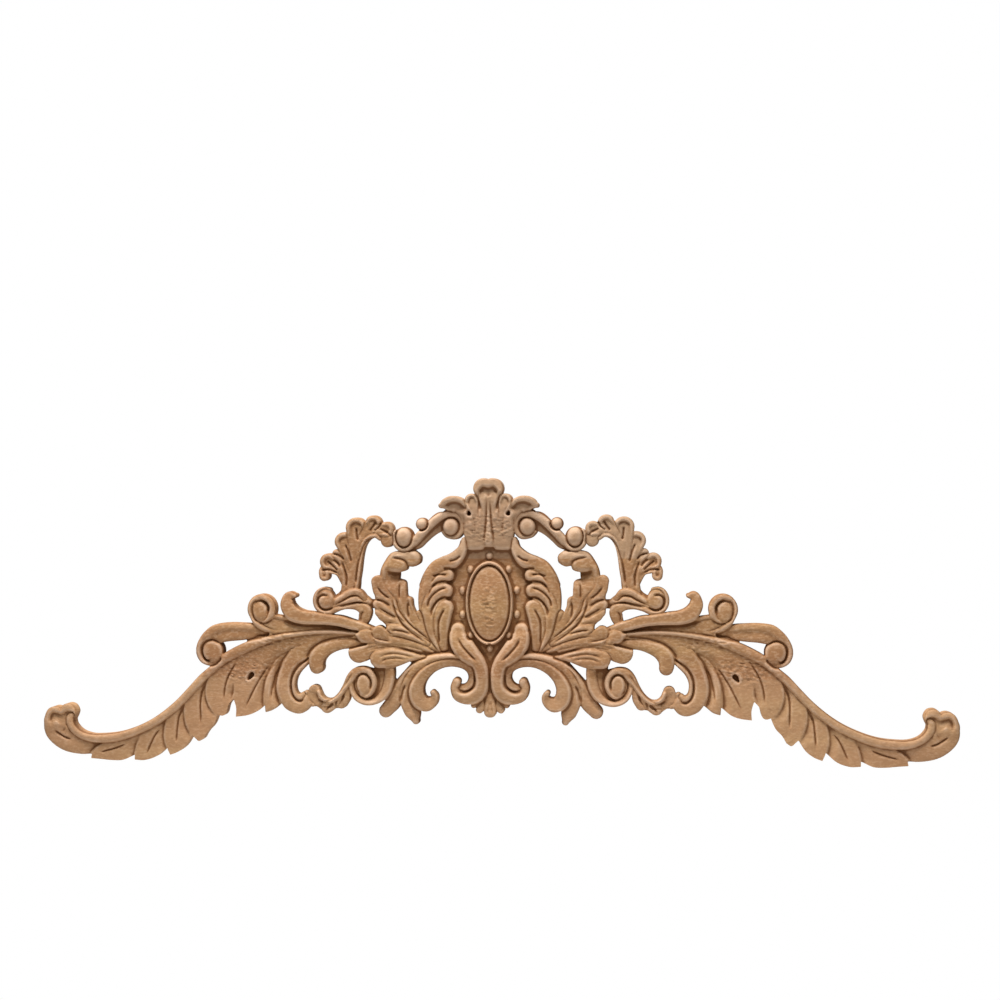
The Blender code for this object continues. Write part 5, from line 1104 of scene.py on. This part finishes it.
def bare_wood():
    """Tan hardwood; stain and painted shade in cuts, painted shade in valleys, painted highlight on edges.
    """
    material = bpy.data.materials.new("wood")
    material.use_nodes = True
    tree = material.node_tree
    n = Nodes(tree)
    place = n.add("ShaderNodeTexCoord").outputs["Object"]
    streaks = n.noise(place, 60.0, 5.0, 0.6, (0.12, 1.0, 1.6))
    fine = n.noise(place, 420.0, 3.0, 0.6, (0.10, 1.0, 1.0))
    pores = n.span(n.noise(place, 900.0, 2.0, 0.5, (0.16, 1.0, 1.0)), 0.62, 0.74)

    colour = board_colour(n, place, streaks, pores)
    hollow = n.attribute("hollow")
    # Painted shade in the broad valleys
    colour = n.mix(n.span(n.attribute("valley"), 0.2, 3.2, 0.0, 0.34), colour, PAINTED_VALLEY_SHADE)
    # Stain and painted shade in the deep cuts
    colour = n.mix(n.span(hollow, 0.08, 0.70, 0.0, 0.78), colour, CUT_STAIN_AND_SHADE)
    # Painted highlight on the raised edges
    colour = n.mix(n.span(hollow, -0.12, -0.7, 0.0, 0.36), colour, PAINTED_EDGE_HIGHLIGHT)

    roughness = n.span(fine, 0.3, 0.7, 0.56, 0.72)
    marks = n.math("ADD", n.math("MULTIPLY", fine, 0.5), n.math("MULTIPLY", streaks, 0.5))
    marks = n.math("SUBTRACT", marks, n.math("MULTIPLY", pores, 0.35))
    bump = n.add("ShaderNodeBump", {"Height": marks, "Strength": 0.35, "Distance": 0.0004})
    shader = tree.nodes["Principled BSDF"]
    tree.links.new(colour, shader.inputs["Base Color"])
    tree.links.new(roughness, shader.inputs["Roughness"])
    tree.links.new(bump.outputs["Normal"], shader.inputs["Normal"])
    shader.inputs["Specular IOR Level"].default_value = SHEEN
    return material


def studio():
    """White surroundings, a broad light above the carving and a softer one in front."""
    world = bpy.data.worlds.new("studio")
    bpy.context.scene.world = world
    world.use_nodes = True
    n = Nodes(world.node_tree)
    seen = n.add("ShaderNodeLightPath").outputs["Is Camera Ray"]
    strength = n.math("ADD", n.math("MULTIPLY", seen, 1.0 - AMBIENT), AMBIENT)
    backdrop = world.node_tree.nodes["Background"]
    backdrop.inputs["Color"].default_value = (1.0, 1.0, 1.0, 1.0)
    world.node_tree.links.new(strength, backdrop.inputs["Strength"])
    for name, place, size, power in LIGHTS:
        light = bpy.data.lights.new(name, "AREA")
        light.shape = "RECTANGLE"
        light.size, light.size_y = size
        light.energy = power
        lamp = bpy.data.objects.new(name, light)
        lamp.location = place
        lamp.rotation_euler = (-Vector(place)).to_track_quat("-Z", "Y").to_euler()
        bpy.context.scene.collection.objects.link(lamp)


def floor():
    """Plain white floor under the held carving."""
    (left, right), (near, far) = FLOOR_X, FLOOR_Y
    corners = ((left, near), (right, near), (right, far), (left, far))
    data = bpy.data.meshes.new("floor")
    data.from_pydata([(x, y, FLOOR_Z) for x, y in corners], [], [(0, 1, 2, 3)])
    plane = bpy.data.objects.new("floor", data)
    material = bpy.data.materials.new("floor")
    material.use_nodes = True
    shader = material.node_tree.nodes["Principled BSDF"]
    shader.inputs["Base Color"].default_value = (*FLOOR_COLOUR, 1.0)
    shader.inputs["Roughness"].default_value = 0.9
    data.materials.append(material)
    bpy.context.scene.collection.objects.link(plane)


def camera():
    """A little to the right of the carving, turned towards it."""
    data = bpy.data.cameras.new("camera")
    data.lens = LENS
    eye = bpy.data.objects.new("camera", data)
    eye.location = CAMERA_PLACE
    eye.rotation_euler = Euler([math.radians(angle) for angle in CAMERA_TURN])
    bpy.context.scene.collection.objects.link(eye)
    bpy.context.scene.camera = eye


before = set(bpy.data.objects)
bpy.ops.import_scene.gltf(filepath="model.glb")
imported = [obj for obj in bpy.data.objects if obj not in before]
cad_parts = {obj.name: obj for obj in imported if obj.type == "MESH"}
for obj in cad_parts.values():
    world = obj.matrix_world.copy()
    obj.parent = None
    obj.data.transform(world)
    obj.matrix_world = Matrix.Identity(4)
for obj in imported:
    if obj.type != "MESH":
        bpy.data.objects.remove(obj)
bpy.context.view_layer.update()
piece = carving(Surface(carve(GRID_STEP)))
piece.data.materials.clear()
piece.data.materials.append(bare_wood())
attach(piece, "root")
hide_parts("applique")
studio()
floor()
camera()
bpy.context.scene.view_settings.view_transform = "Standard"
